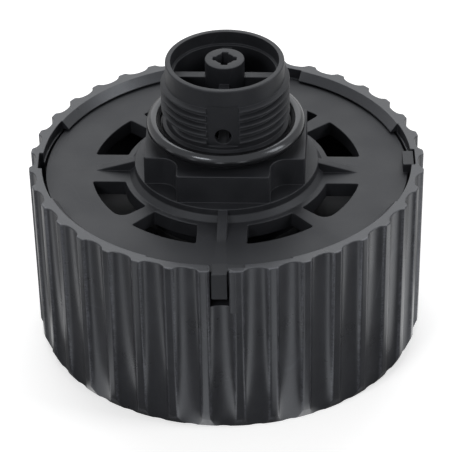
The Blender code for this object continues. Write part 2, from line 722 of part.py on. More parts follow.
def make_tube():
    """The tube that keeps the pleats from collapsing, with rows of slots for the air."""
    points = [
        (TUBE_INNER_RADIUS, CORE_TOP),
        (TUBE_OUTER_RADIUS, CORE_TOP),
        (TUBE_OUTER_RADIUS, CORE_BOTTOM),
        (TUBE_INNER_RADIUS, CORE_BOTTOM),
    ]
    material = plastic("tube black plastic", (0.03, 0.03, 0.03), 0.5)
    tube = turned_part("support_tube", points, material, PLAIN_STEPS, True)
    half, reach = TUBE_SLOT_WIDTH / 2, TUBE_OUTER_RADIUS + THROUGH
    spacing = (CORE_TOP - CORE_BOTTOM) / TUBE_SLOT_ROWS
    half_slot = (spacing - TUBE_WEB) / 2
    bm = bmesh.new()
    for column in range(TUBE_SLOT_COLUMNS):
        block = rectangle(TUBE_INNER_RADIUS / 2, reach, -half, half)
        outline = turn_outline(block, 2 * math.pi * column / TUBE_SLOT_COLUMNS)
        for row in range(TUBE_SLOT_ROWS):
            middle = CORE_BOTTOM + (row + 0.5) * spacing
            add_prism(bm, outline, middle - half_slot, middle + half_slot)
    cut(tube, mesh_from(bm, "tube_slots"))
    return tube


def make_media():
    """The folded paper: a zigzag wall round the tube, given its thickness on both sides."""
    pitch = 2 * math.pi / PLEAT_COUNT
    half_fold = pitch * PLEAT_FOLD_SHARE / 2
    outer = MEDIA_OUTER_RADIUS - PLEAT_PAPER
    inner = MEDIA_INNER_RADIUS + PLEAT_PAPER
    bm = bmesh.new()
    loop = []
    for pleat in range(PLEAT_COUNT):
        tip, valley = pleat * pitch, (pleat + 0.5) * pitch
        for radius, angle in (
            (outer, tip - half_fold),
            (outer, tip + half_fold),
            (inner, valley - half_fold),
            (inner, valley + half_fold),
        ):
            place = (radius * math.cos(angle), radius * math.sin(angle), CORE_BOTTOM)
            loop.append(bm.verts.new(place))
    edges = [bm.edges.new((loop[i - 1], loop[i])) for i in range(len(loop))]
    raised = bmesh.ops.extrude_edge_only(bm, edges=edges)["geom"]
    verts = [item for item in raised if isinstance(item, bmesh.types.BMVert)]
    bmesh.ops.translate(bm, verts=verts, vec=(0, 0, CORE_TOP - CORE_BOTTOM))
    media = add_part(
        mesh_from(bm, "pleated_media"), plastic("filter paper", (0.72, 0.66, 0.50), 0.95)
    )
    wall = media.modifiers.new("paper", "SOLIDIFY")
    wall.thickness = PLEAT_PAPER
    wall.offset = 0
    return media


clear_scene()
PARTS = new_collection("tank_breather_filter")
TOOLS = new_collection("cutters")
make_cap()
make_base()
make_ring()
make_element_seal()
make_upper_end_plate()
make_lower_end_plate()
make_tube()
make_media()
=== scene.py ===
# %% [markdown]
# # A tank breather filter, modelled and finished in Blender
#
# The object is an air filter for a hydraulic tank. It stands upside down on its fluted cap, and
# its threaded neck points up. Two black plastic mouldings make nearly all that shows: the cap,
# and the base with its air windows, its spanner hub and its neck. A rubber ring grips the neck.
#
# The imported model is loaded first. It fixes every size, so each new piece below is drawn in the
# same frame, and only its surface is finer. Lengths are written in millimetres, and only the
# depth of a material's grain is in metres.

import bmesh
import bpy
import numpy as np
from mathutils import Matrix, Vector


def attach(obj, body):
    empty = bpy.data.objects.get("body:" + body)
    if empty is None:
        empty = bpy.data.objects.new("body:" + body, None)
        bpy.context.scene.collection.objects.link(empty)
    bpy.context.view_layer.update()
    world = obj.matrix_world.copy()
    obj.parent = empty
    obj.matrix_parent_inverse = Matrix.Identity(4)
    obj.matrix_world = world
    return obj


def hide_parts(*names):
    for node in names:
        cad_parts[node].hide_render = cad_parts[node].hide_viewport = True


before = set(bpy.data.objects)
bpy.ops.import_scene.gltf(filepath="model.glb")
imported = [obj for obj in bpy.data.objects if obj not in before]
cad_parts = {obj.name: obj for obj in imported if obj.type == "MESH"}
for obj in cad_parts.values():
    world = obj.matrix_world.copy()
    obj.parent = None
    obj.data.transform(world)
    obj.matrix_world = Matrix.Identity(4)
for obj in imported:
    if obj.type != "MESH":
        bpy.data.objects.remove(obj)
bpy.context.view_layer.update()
MM = 0.001
TURN = 2 * np.pi
print("nodes:", ", ".join(sorted(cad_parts)))

# %% [markdown]
# ## The camera
#
# The photograph looks down at about 33 degrees through a long lens. The neck's top is seen less
# from above than the rim is, and that difference tells how far the camera stood: about 0.85 m
# from the middle of the rim. It is turned a little to the object's right and rolled by one
# degree, and aimed below the rim's middle, so that this point falls where the photograph has it.

# %% Place the camera
FRAME_PIXELS = 452
FOCAL_PIXELS = 4106
SENSOR_MM = 36
RIM_PIXEL = (226.55, 160.25)
RIM_LEVEL = 39.5
CAMERA_DISTANCE_MM = 850
CAMERA_ELEVATION = np.radians(33.1)
CAMERA_AZIMUTH = np.radians(2.95)
CAMERA_ROLL = np.radians(1.12)


def unit(vector):
    """The vector over its own length."""
    return vector / np.linalg.norm(vector)


def camera_axes():
    """Right, up, forward, and away, which points from the rim's middle to the camera.

    Forward is the opposite of away, less the rim's offset in the frame.
    """
    level = np.cos(CAMERA_ELEVATION)
    away = np.array(
        [level * np.sin(CAMERA_AZIMUTH), -level * np.cos(CAMERA_AZIMUTH), np.sin(CAMERA_ELEVATION)]
    )
    right = unit(np.cross([0, 0, 1], away))
    up = np.cross(away, right)
    c, s = np.cos(CAMERA_ROLL), np.sin(CAMERA_ROLL)
    right, up = c * right - s * up, s * right + c * up
    across = (RIM_PIXEL[0] - FRAME_PIXELS / 2) / FOCAL_PIXELS
    above = (FRAME_PIXELS / 2 - RIM_PIXEL[1]) / FOCAL_PIXELS
    forward = unit(-away - across * right - above * up)
    right = unit(right - forward * (right @ forward))
    return right, np.cross(right, forward), forward, away


right, up, forward, away = camera_axes()
camera_data = bpy.data.cameras.new("camera")
camera_data.sensor_width = SENSOR_MM
camera_data.lens = SENSOR_MM * FOCAL_PIXELS / FRAME_PIXELS
camera_data.clip_start = 0.05
camera = bpy.data.objects.new("camera", camera_data)
place = np.eye(4)
place[:3, :3] = np.column_stack([right, up, -forward])
place[:3, 3] = (np.array([0, 0, RIM_LEVEL]) + away * CAMERA_DISTANCE_MM) * MM
camera.matrix_world = Matrix(place.tolist())
bpy.context.scene.collection.objects.link(camera)
bpy.context.scene.camera = camera
print("lens in mm:", round(camera_data.lens, 1))

# %% [markdown]
# ## Surfaces from arrays
#
# Every new piece is a grid of points: rows run along the piece, and columns run round it. The
# points come from a formula on whole arrays. Neighbouring rows are joined by quads, the last
# column joins the first, and flat faces close the two ends. A row whose points all meet on the
# axis becomes a pole when the doubles are merged.

# %% Put a grid of points into a mesh
MERGE_MM = 0.0005


def grid_quads(rows, columns, ring):
    """Each quad joins a point, the next one round, and the two above them."""
    last = rows if ring else rows - 1
    row, column = np.meshgrid(np.arange(last), np.arange(columns), indexing="ij")
    above, beside = (row + 1) % rows, (column + 1) % columns
    corners = [(row, column), (row, beside), (above, beside), (above, column)]
    return np.stack([r * columns + c for r, c in corners], axis=-1).reshape(-1, 4)


def closed_mesh(name, grids, ring=False):
    """One mesh of one or more closed grids. A ring has no ends: its last row joins its first."""
    points, faces, first = [], [], 0
    for grid in grids:
        rows, columns = grid.shape[:2]
        faces += (grid_quads(rows, columns, ring) + first).tolist()
        if not ring:
            end = np.arange(columns)
            faces += [(end[::-1] + first).tolist(), (end + (rows - 1) * columns + first).tolist()]
        points.append(grid.reshape(-1, 3))
        first += rows * columns
    mesh = bpy.data.meshes.new(name)
    mesh.from_pydata((np.concatenate(points) * MM).tolist(), [], faces)
    bm = bmesh.new()
    bm.from_mesh(mesh)
    bmesh.ops.remove_doubles(bm, verts=bm.verts, dist=MERGE_MM * MM)
    bmesh.ops.recalc_face_normals(bm, faces=bm.faces)
    bm.to_mesh(mesh)
    bm.free()
    return mesh


def new_object(mesh):
    """An object at the origin that holds the mesh, linked to the scene."""
    obj = bpy.data.objects.new(mesh.name, mesh)
    bpy.context.scene.collection.objects.link(obj)
    return obj


# %% [markdown]
# ## Rounded corners, turned shapes and raised outlines
#
# Moulded plastic has no dead sharp edge: each one is rounded by a tenth or two of a millimetre,
# and catches a thin line of light. A Bevel modifier often fails where Booleans leave tiny
# edges, so the rounding is drawn into the profiles themselves.

# %% Round the corners of an outline
def round_corners(corners, steps=4):
    """Each corner (x, y, radius) becomes an arc that touches both sides.

    The arc's centre lies on the corner's bisector, at radius / sin(half the opening), and its
    ends lie at radius / tan(half the opening) along the two sides.
    """
    data = np.array(corners, float)
    here, radius = data[:, :2], data[:, 2:3]
    back = np.roll(here, 1, axis=0) - here
    ahead = np.roll(here, -1, axis=0) - here
    back /= np.linalg.norm(back, axis=1, keepdims=True)
    ahead /= np.linalg.norm(ahead, axis=1, keepdims=True)
    half = 0.5 * np.arccos(np.clip((back * ahead).sum(1, keepdims=True), -1, 1))
    straight = np.pi / 2 - half < 1e-4
    bisector = np.where(straight, back, back + ahead)
    bisector /= np.linalg.norm(bisector, axis=1, keepdims=True)
    radius = np.where(straight, 0, radius)
    centre = here + bisector * radius / np.sin(half)
    start = here + back * radius / np.tan(half) - centre
    end = here + ahead * radius / np.tan(half) - centre
    sweep = np.where(straight, 1, np.pi - 2 * half)
    t = np.linspace(0, 1, steps + 1)[None, :, None]
    sweep, start, end, centre = (a[:, None, :] for a in (sweep, start, end, centre))
    arc = centre + (start * np.sin((1 - t) * sweep) + end * np.sin(t * sweep)) / np.sin(sweep)
    outline = arc.reshape(-1, 2)
    gap = np.linalg.norm(outline - np.roll(outline, 1, axis=0), axis=1)
    return outline[gap > MERGE_MM]


# %% Turn a profile round the axis, or raise an outline
def ring_angles(steps):
    """Equal steps once round, without the last, which would repeat the first."""
    return TURN * np.arange(steps) / steps


def turned(profile, steps):
    """A point (r, z) of the profile goes round as (r cos a, r sin a, z)."""
    r, z = np.asarray(profile, float).T[:, :, None]
    a = ring_angles(steps)[None, :]
    return np.stack([r * np.cos(a), r * np.sin(a), z + 0 * a], axis=-1)


def outward(outline):
    """The mitre at each point of a closed outline: moving by it moves both sides by one."""
    side = np.roll(outline, -1, axis=0) - outline
    normal = np.stack([side[:, 1], -side[:, 0]], axis=1)
    normal /= np.linalg.norm(normal, axis=1, keepdims=True)
    before = np.roll(normal, 1, axis=0)
    return (before + normal) / (1 + (before * normal).sum(1, keepdims=True))


def raised(outline, rows):
    """Each row (offset, z) is the outline grown by the offset and lifted to z."""
    offset, level = np.array(rows, float).T[:, :, None]
    flat = outline[None] + offset[..., None] * outward(outline)[None]
    height = np.broadcast_to(level[..., None], flat.shape[:2] + (1,))
    return np.concatenate([flat, height], axis=-1)


def quarter_round(radius, level, steps=4):
    """Rows that pull the outline in by the radius while they rise to the level."""
    a = np.linspace(0, np.pi / 2, steps + 1)
    return list(zip(radius * (np.cos(a) - 1), level + radius * (np.sin(a) - 1)))


def flare(radius, level, steps=4):
    """Rows of a cutter that widens as it leaves the surface, and so rounds the edge it cuts."""
    return [(-inset, z) for inset, z in quarter_round(radius, level, steps)]


def spun(grid, angle):
    """Each point turned about the axis: (x cos a - y sin a, x sin a + y cos a, z)."""
    c, s = np.cos(angle), np.sin(angle)
    x, y, z = np.moveaxis(grid, -1, 0)
    return np.stack([x * c - y * s, x * s + y * c, z], axis=-1)


def block(x_low, x_high, y_low, y_high, radius=0.0):
    """The outline of a rectangle with rounded corners."""
    corners = [(x_low, y_low), (x_high, y_low), (x_high, y_high), (x_low, y_high)]
    return round_corners([(x, y, radius) for x, y in corners], 3)


QUARTERS = np.radians([0, 90, 180, 270])
RIGHT, BACK, LEFT, FRONT = QUARTERS


def four_arms(points):
    """The points (x, y) of one arm, turned to the four quarters one after the other."""
    x, y = np.array(points, float).T
    c, s = np.cos(QUARTERS)[:, None], np.sin(QUARTERS)[:, None]
    return np.stack([x * c - y * s, x * s + y * c], axis=-1).reshape(-1, 2)


# %% [markdown]
# ## Adding and cutting
#
# The mouldings are built as a mould maker cuts a tool: a main body, with other shapes added and
# cores taken away. Each of these is a closed surface, so an exact Boolean gives a closed
# result. The finished mesh gets smooth shading between its sharp edges, and normals weighted by
# face area, so that large flat faces stay flat beside small rounded ones.

# %% Combine closed surfaces
SHARP_ANGLE = np.radians(32)
BROAD_ANGLE, BROAD_MM = np.radians(11), 0.9


def open_edges(mesh):
    """Edges that don't join exactly two faces. A closed surface has none."""
    edge_of_corner = np.empty(len(mesh.loops), np.int32)
    mesh.loops.foreach_get("edge_index", edge_of_corner)
    return int((np.bincount(edge_of_corner, minlength=len(mesh.edges)) != 2).sum())


def combine(body, steps):
    """Adds or cuts each mesh in turn, and leaves one plain mesh."""
    tools = []
    for mesh, operation in steps:
        tool = new_object(mesh)
        tools.append(tool)
        modifier = body.modifiers.new(mesh.name, "BOOLEAN")
        modifier.object = tool
        modifier.operation = operation
        modifier.solver = "EXACT"
    graph = bpy.context.evaluated_depsgraph_get()
    result = bpy.data.meshes.new_from_object(body.evaluated_get(graph))
    body.modifiers.clear()
    body.data = result
    for tool in tools:
        bpy.data.objects.remove(tool)
    print(f"{body.name}: {open_edges(result)} open edges")
    return body


def keep_broad_faces_flat(mesh):
    """Two broad faces that meet at more than a slight angle share no soft shading.

    A face's width is its area over its longest side, and the faces of a rounding are narrow.
    """
    bm = bmesh.new()
    bm.from_mesh(mesh)
    width = [face.calc_area() / max(edge.calc_length() for edge in face.edges) for face in bm.faces]
    for edge in bm.edges:
        broad = all(width[face.index] > BROAD_MM * MM for face in edge.link_faces)
        if broad and edge.calc_face_angle(0) > BROAD_ANGLE:
            edge.smooth = False
    bm.to_mesh(mesh)
    bm.free()


def finish_shading(obj, angle=SHARP_ANGLE):
    """Smooth shading up to the angle, with normals weighted by the area of the faces."""
    obj.data.shade_smooth()
    obj.data.set_sharp_from_angle(angle=angle)
    keep_broad_faces_flat(obj.data)
    weighted = obj.modifiers.new("flat faces stay flat", "WEIGHTED_NORMAL")
    weighted.keep_sharp = True
    triangles = sum(len(face.vertices) - 2 for face in obj.data.polygons)
    print(f"{obj.name}: {triangles} triangles")
    return obj


# %% [markdown]
# ## The cap
#
# The cap is a cup with 36 flutes for the hand. Each flute is a valley with the section of half
# an ellipse between two narrow crests. The section could be drawn point by point, but it is
# the same 36 times, so it is written once as a depth for each angle. It is then blurred a
# little, because the mould's cutter leaves no sharp corner at a crest.

# %% The depth of the flutes at each angle
FLUTES = 36
CREST_RADIUS = 40.9
CREST_WIDTH = 1.9
FLUTE_DEPTH = 1.25
FLUTE_BLUR = 0.17
FIRST_VALLEY = np.radians(0.6)
FINE = 2048


def flute_table():
    """Depth over one pitch, from crest to crest: the half ellipse sqrt(1 - (t / w)^2), blurred.

    The blur is a product in the frequencies, which suits a section that repeats.
    """
    pitch = TURN * CREST_RADIUS / FLUTES
    t = (np.arange(FINE) / FINE - 0.5) * pitch
    half_valley = (pitch - CREST_WIDTH) / 2
    depth = np.sqrt(np.clip(1 - (t / half_valley) ** 2, 0, None))
    wave = TURN * np.fft.rfftfreq(FINE, pitch / FINE)
    blurred = np.fft.irfft(np.fft.rfft(depth) * np.exp(-0.5 * (wave * FLUTE_BLUR) ** 2), FINE)
    return t / pitch, np.clip(blurred, 0, None), half_valley / pitch


def flute_stations(half_valley):
    """Shares of a pitch from -0.5 to 0.5, close together where the valley's sides are steep."""
    valley = half_valley * np.sin(np.linspace(-np.pi / 2, np.pi / 2, 17))
    crest = half_valley + np.array([0.016, 0.034, 0.06, 0.09])
    return np.concatenate([-crest[::-1], valley, crest, [0.5]])


share, depth_table, valley_share = flute_table()
stations = flute_stations(valley_share)
flute_angle = FIRST_VALLEY + ((np.arange(FLUTES)[:, None] + stations[None]) * TURN / FLUTES).ravel()
flute_depth = np.tile(np.interp(stations, share, depth_table, period=1), FLUTES)
print("points round the cap:", len(flute_angle))

# %% The cap's outside, and the cone that takes the feet of the crests off
CAP_DRAFT = 1.0
FOOT_RADIUS = CREST_RADIUS - CAP_DRAFT
RIM_EDGE, PLAIN_WALL_TOP = 0.22, 36
FOOT_EDGE, FOOT_CHAMFER = FOOT_RADIUS - 1.0, 2.2


def cap_rows():
    """Rows of (height, crest radius, inset)."""
    levels = np.linspace(0, PLAIN_WALL_TOP, 10)
    wall = [(z, FOOT_RADIUS + CAP_DRAFT * z / RIM_LEVEL, 0) for z in levels]
    edge = [(z, CREST_RADIUS, -inset) for inset, z in quarter_round(RIM_EDGE, RIM_LEVEL, 4)]
    return np.array(wall + edge)


def fluted(rows):
    """The radius at each angle is the row's crest radius, less the depth of the flutes there."""
    z, crest, inset = rows.T[:, :, None]
    r = crest - FLUTE_DEPTH * flute_depth[None] - inset
    a = flute_angle[None]
    return np.stack([r * np.cos(a), r * np.sin(a), z + 0 * a], axis=-1)


CONE_TOP, CONE_BOTTOM, CONE_OUTER = 6, -0.5, CREST_RADIUS + 2
cone_slope = (FOOT_RADIUS - FOOT_EDGE) / FOOT_CHAMFER
cone = [
    (FOOT_EDGE - 0.35, CONE_BOTTOM),
    (FOOT_EDGE + 0.15 * cone_slope, 0.15),
    (FOOT_EDGE + CONE_TOP * cone_slope, CONE_TOP),
    (CONE_OUTER, CONE_TOP),
    (CONE_OUTER, CONE_BOTTOM),
]
cap = new_object(closed_mesh("cap_moulding", [fluted(cap_rows())]))
foot_cone = closed_mesh("foot_cone", [turned(cone, 288)], ring=True)
print("crest radius at the foot and at the rim:", FOOT_RADIUS, CREST_RADIUS)

# %% [markdown]
# ## The cap's hollow and its rim
#
# One turned core hollows the cup. Near the rim it leaves a small lip that slopes inwards, so
# that the base snaps in under it, and four wide stretches of rim have no lip. The rim also has
# a notch near each quarter. The front one opens into a slot through the wall for the latch, with
# a thin post beside it. On the cap's floor a stepped ring is left for the element to sit on.

# %% The core, the stretches without a lip, the notches and the slot
POCKET_RADIUS, LIP_RADIUS, SHOULDER_RADIUS = 38.05, 36.55, 36.9
LIP_TOP, LIP_BOTTOM, SHOULDER_LEVEL = 37.9, 37.65, 33.85
CAP_FLOOR, SEAT_LEVEL, SEAT_WALL_TOP = 2.3, 5.3, 6.8
SEAT_INNER, SEAT_STEP, SEAT_OUTER = 26.8, 29.1, 30.6
NOTCH_RADIUS, NOTCH_HALF, NOTCH_FLOOR = 39.0, 2.9, 32.5
SLOT_LEFT, SLOT_RIGHT, SLOT_FLOOR, FRONT_NOTCH_RIGHT = -1.8, 2.0, 30.5, 5.2
SLOT_POST_SIDE, SLOT_POST_WIDTH = SLOT_RIGHT + 0.15, 1.4
CUTTER_INSIDE = LIP_RADIUS - 1
NOTCH_ANGLES = RIGHT + np.radians(3), BACK, LEFT + np.radians(1)
ABOVE = 1.0
cap_core = round_corners(
    [
        (0, CAP_FLOOR, 0),
        (SEAT_INNER, CAP_FLOOR, 0.3),
        (SEAT_INNER, SEAT_LEVEL, 0.2),
        (SEAT_STEP, SEAT_LEVEL, 0.1),
        (SEAT_STEP, SEAT_WALL_TOP, 0.1),
        (SEAT_OUTER, SEAT_WALL_TOP, 0.2),
        (SEAT_OUTER, CAP_FLOOR, 0.3),
        (SHOULDER_RADIUS - CAP_DRAFT, CAP_FLOOR, 1.2),
        (SHOULDER_RADIUS, SHOULDER_LEVEL, 0.1),
        (POCKET_RADIUS, SHOULDER_LEVEL, 0.1),
        (POCKET_RADIUS, LIP_BOTTOM, 0.05),
        (LIP_RADIUS, LIP_BOTTOM, 0.08),
        (LIP_RADIUS, LIP_TOP, 0.1),
        (POCKET_RADIUS, RIM_LEVEL, 0.2),
        (POCKET_RADIUS + 0.25, RIM_LEVEL + ABOVE, 0),
        (0, RIM_LEVEL + ABOVE, 0),
    ],
    3,
)


def recess(angle, half=np.radians(22.5)):
    """The room between two arcs, from just inside the lip to the pocket's wall."""
    a = np.linspace(-half, half, 25) + angle
    outer = np.stack([np.cos(a), np.sin(a)], axis=1)
    return np.concatenate([(POCKET_RADIUS + 0.2) * outer, CUTTER_INSIDE * outer[::-1]])


rim_flare = [*flare(0.12, RIM_LEVEL), (0.12, RIM_LEVEL + ABOVE)]


def notch(angle, low, high):
    """A block that cuts from inside the lip to the notch's back wall, turned to its place."""
    flat = block(CUTTER_INSIDE, NOTCH_RADIUS, low, high, 0.3)
    return spun(raised(flat, [(0, NOTCH_FLOOR), *rim_flare]), angle)


recess_rows = [(0, LIP_BOTTOM - 0.5), *rim_flare]
recesses = [raised(recess(a), recess_rows) for a in QUARTERS]
notches = [notch(a, -NOTCH_HALF, NOTCH_HALF) for a in NOTCH_ANGLES]
notches.append(notch(FRONT, SLOT_LEFT, FRONT_NOTCH_RIGHT))
slot = raised(
    block(LIP_RADIUS, CREST_RADIUS + 1, SLOT_LEFT, SLOT_RIGHT, 0.0),
    [(0, SLOT_FLOOR), (0, RIM_LEVEL + ABOVE)],
)
post = raised(
    block(NOTCH_RADIUS, CREST_RADIUS - 0.1, SLOT_POST_SIDE, SLOT_POST_SIDE + SLOT_POST_WIDTH, 0.25),
    [(0, RIM_LEVEL - 10), *quarter_round(0.2, RIM_LEVEL - 0.03)],
)
cap = combine(
    cap,
    [
        (foot_cone, "DIFFERENCE"),
        (closed_mesh("slot_post", [spun(post, FRONT)]), "UNION"),
        (closed_mesh("cap_core", [turned(cap_core, 288)]), "DIFFERENCE"),
        (closed_mesh("lip_recesses", recesses), "DIFFERENCE"),
        (closed_mesh("rim_notches", notches), "DIFFERENCE"),
        (closed_mesh("latch_slot", [spun(slot, FRONT)]), "DIFFERENCE"),
    ],
)
finish_shading(cap)
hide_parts("cap")

# %% [markdown]
# ## The base: skin and hub
#
# The base is one moulding. Its skin is a turned profile: the neck, a shoulder, the collar with
# its flared foot, the plate, and below it the land and the spigot that hold the filter element.
# One profile is quicker to change than a stack of cylinders, and leaves no seams between them.
# What isn't round is added to it: the hub, a square for the spanner with its corners notched
# out, and four gussets that brace the collar on the plate.

# %% The turned skin of the base
PLATE_RADIUS, PLATE_TOP, PLATE_BOTTOM = 37.5, 37.35, 34.15
COLLAR_RADIUS, COLLAR_TOP, HUB_TOP, NECK_TOP = 19.0, 39.9, 46.15, 63.85
GRIP_RADIUS, NECK_RADIUS, ROOT_RADIUS, CREST_OF_THREAD = 13.06, 12.2, 12.06, 13.22
BORE_RADIUS, POST_TOP = 10.45, 64.25
COLLAR_FLARE = 1.1
RING_TOP, THREAD_TOP = 50.65, 61.25
GRIP_TOP, NECK_FOOT = RING_TOP - 1.05, RING_TOP - 0.75
SPIGOT_RADIUS, SPIGOT_BOTTOM, LAND_RADIUS, LAND_BOTTOM = 13.25, 26.25, 17.45, 29.75
base_skin = round_corners(
    [
        (0, SPIGOT_BOTTOM, 0),
        (SPIGOT_RADIUS, SPIGOT_BOTTOM, 0.4),
        (SPIGOT_RADIUS, LAND_BOTTOM, 0.2),
        (LAND_RADIUS, LAND_BOTTOM, 0.2),
        (LAND_RADIUS, PLATE_BOTTOM, 0.4),
        (PLATE_RADIUS, PLATE_BOTTOM, 0.2),
        (PLATE_RADIUS, PLATE_TOP, 0.15),
        (COLLAR_RADIUS + COLLAR_FLARE, PLATE_TOP, 0.4),
        (COLLAR_RADIUS, PLATE_TOP + COLLAR_FLARE, 0.5),
        (COLLAR_RADIUS, COLLAR_TOP, 0.16),
        (GRIP_RADIUS, COLLAR_TOP, 0),
        (GRIP_RADIUS, GRIP_TOP, 0.15),
        (NECK_RADIUS, NECK_FOOT, 0.15),
        (NECK_RADIUS, NECK_TOP, 0.28),
        (BORE_RADIUS, NECK_TOP, 0),
        (BORE_RADIUS, POST_TOP, 0),
        (0, POST_TOP, 0),
    ],
    5,
)
base = new_object(closed_mesh("base_moulding", [turned(base_skin, 288)]))
print("corners and arc points in the skin's profile:", len(base_skin))

# %% The hub, with a rounded top edge
HUB_FLAT, HUB_HALF = 16.5, 9.55


def hub_outline():
    """Per quarter: the two outer corners of an arm, then the inner corner beside it."""
    arm = [(HUB_FLAT, -HUB_HALF), (HUB_FLAT, HUB_HALF), (HUB_HALF, HUB_HALF)]
    radius = np.tile([0.6, 0.6, 3.5], len(QUARTERS))
    return round_corners(np.column_stack([four_arms(arm), radius]), 8)


hub = raised(hub_outline(), [(0, COLLAR_TOP - 0.6), *quarter_round(0.2, HUB_TOP)])
print("hub across its flats in mm:", 2 * HUB_FLAT)

# %% The four gussets that brace the collar
GUSSET_HALF, GUSSET_REACH, GUSSET_SLOPE = 1.0, 27.3, 0.289


def gusset(angle):
    """A ramp with rounded shoulders that falls in a line from the collar's edge to the plate.

    The section is an arch of eight points across the width, with its feet in the plate. The
    rows run outwards.
    """
    reach = np.linspace(COLLAR_RADIUS - 0.5, GUSSET_REACH, 6)
    top = PLATE_TOP - 0.02 + GUSSET_SLOPE * (GUSSET_REACH - reach)
    across = np.array([1, 1, 0.93, 0.78, -0.78, -0.93, -1, -1]) * GUSSET_HALF
    drop = np.array([0, 0.22, 0.06, 0, 0, 0.06, 0.22, 0])
    foot = np.array([True] + 6 * [False] + [True])
    height = np.where(foot, PLATE_TOP - 0.5, top[:, None] - drop)
    grid = np.stack([reach[:, None] + 0 * height, across + 0 * height, height], axis=-1)
    return spun(grid, angle)


gussets = closed_mesh("gussets", [gusset(a) for a in QUARTERS])
print("gussets:", len(QUARTERS))

# %% [markdown]
# ## The thread
#
# The neck carries a G 3/4 pipe thread: 1.814 mm from crest to crest, flanks at 55 degrees and
# rounded crests. A Screw modifier could make a ridge like it, but one that stops dead at its
# ends. So a section of the ridge is carried along a true helix instead, and its height fades
# over part of a turn at both ends, as a moulded thread runs out.

# %% Carry the ridge's section up the helix
THREAD_PITCH = 1.814
THREAD_TURNS = 4.955
THREAD_END = np.radians(180.3)
RUN_OUT = np.radians(40)
HALF_FLANK_ANGLE = np.radians(27.5)
CREST_HALF, RIDGE_SUNK, STEPS_PER_TURN = 0.2, 0.06, 110


def thread_ridge():
    """At the angle a the section sits at z = z0 + pitch * a / turn, its rise times the fade.

    Each point of the section has a rise, as a share of the ridge's depth, and a place along the
    neck, as a share of the ridge's half width.
    """
    length = TURN * THREAD_TURNS
    a = np.linspace(0, length, int(STEPS_PER_TURN * THREAD_TURNS))
    edge = np.clip(np.minimum(a, length - a) / RUN_OUT, 0, 1)
    fade = edge * edge * (3 - 2 * edge)
    depth = CREST_OF_THREAD - ROOT_RADIUS
    rise = np.array([-0.45, -0.02, 0.4, 0.78, 0.95, 1.0, 1.0, 0.95, 0.78, 0.4, -0.02, -0.45])
    wide = np.array([1.0, 0.82, 0.62, 0.36, 0.22, 0.08, -0.08, -0.22, -0.36, -0.62, -0.82, -1.0])
    half = CREST_HALF + depth * np.tan(HALF_FLANK_ANGLE)
    faded = np.where(rise > 0, rise * fade[:, None], rise)
    r = ROOT_RADIUS - RIDGE_SUNK + (depth + RIDGE_SUNK) * faded
    z = THREAD_TOP - half - THREAD_PITCH * (length - a)[:, None] / TURN + wide * half
    turn = (THREAD_END - length + a)[:, None]
    return np.stack([r * np.cos(turn), r * np.sin(turn), z], axis=-1)


ridge = closed_mesh("thread_ridge", [thread_ridge()])
print("rise of the thread in mm:", round(THREAD_PITCH * THREAD_TURNS, 2))

# %% [markdown]
# ## The openings of the base
#
# The neck is hollow. Inside it a post stands on four ribs, with a cross-shaped recess in its
# top. The thread is cut away at the front down to a flat, with a cross hole in it. Eight
# windows in the plate let the air in. Each cutter widens a little where it leaves the surface,
# and so leaves a rounded edge. The core of the bore is turned by a third of a degree, so that
# none of its edges lies on an edge of the neck, which would leave cracks.

# %% The bore, less its post and ribs
MOUTH_RADIUS, MOUTH_DEPTH = 11.1, 2.8
POST_RADIUS, POST_FOOT, RIB_HALF, RIB_TOP = 4.05, 45.85, 1.05, 60.45
bore_profile = round_corners(
    [
        (0, SPIGOT_BOTTOM - 1, 0),
        (BORE_RADIUS, SPIGOT_BOTTOM - 1, 0),
        (BORE_RADIUS, NECK_TOP - MOUTH_DEPTH, 0.15),
        (MOUTH_RADIUS, NECK_TOP - MOUTH_DEPTH, 0.1),
        (MOUTH_RADIUS, NECK_TOP, 0.25),
        (MOUTH_RADIUS + 0.3, NECK_TOP + 0.2, 0),
        (MOUTH_RADIUS + 0.3, NECK_TOP + ABOVE, 0),
        (0, NECK_TOP + ABOVE, 0),
    ],
    4,
)
RIB_REACH = MOUTH_RADIUS + 1
rib_cross = four_arms([(RIB_REACH, -RIB_HALF), (RIB_REACH, RIB_HALF), (RIB_HALF, RIB_HALF)])
post_profile = [(0, POST_FOOT), (POST_RADIUS, POST_FOOT), (POST_RADIUS, POST_TOP - 0.2)]
post_profile += [(POST_RADIUS - 0.06, POST_TOP - 0.06), (POST_RADIUS - 0.2, POST_TOP)]
post_profile += [(POST_RADIUS - 0.2, POST_TOP + 3), (0, POST_TOP + 3)]
ribs = raised(rib_cross, [(0, POST_FOOT + 0.5), *quarter_round(0.15, RIB_TOP)])
bore_core = spun(turned(bore_profile, 192), np.radians(0.3))
bore = combine(
    new_object(closed_mesh("bore_core", [bore_core])),
    [
        (closed_mesh("ribs", [ribs]), "DIFFERENCE"),
        (closed_mesh("post", [turned(post_profile, 96)]), "DIFFERENCE"),
    ],
)

# %% The windows in the plate
WINDOW_INNER, WINDOW_OUTER, WEB_HALF, SPOKE_HALF = 21.3, 27.88, 5.1, np.radians(3.7)
SMALL_CORNER, ROUND_CORNER = 0.45, 2.2
ARC_POINTS = 13


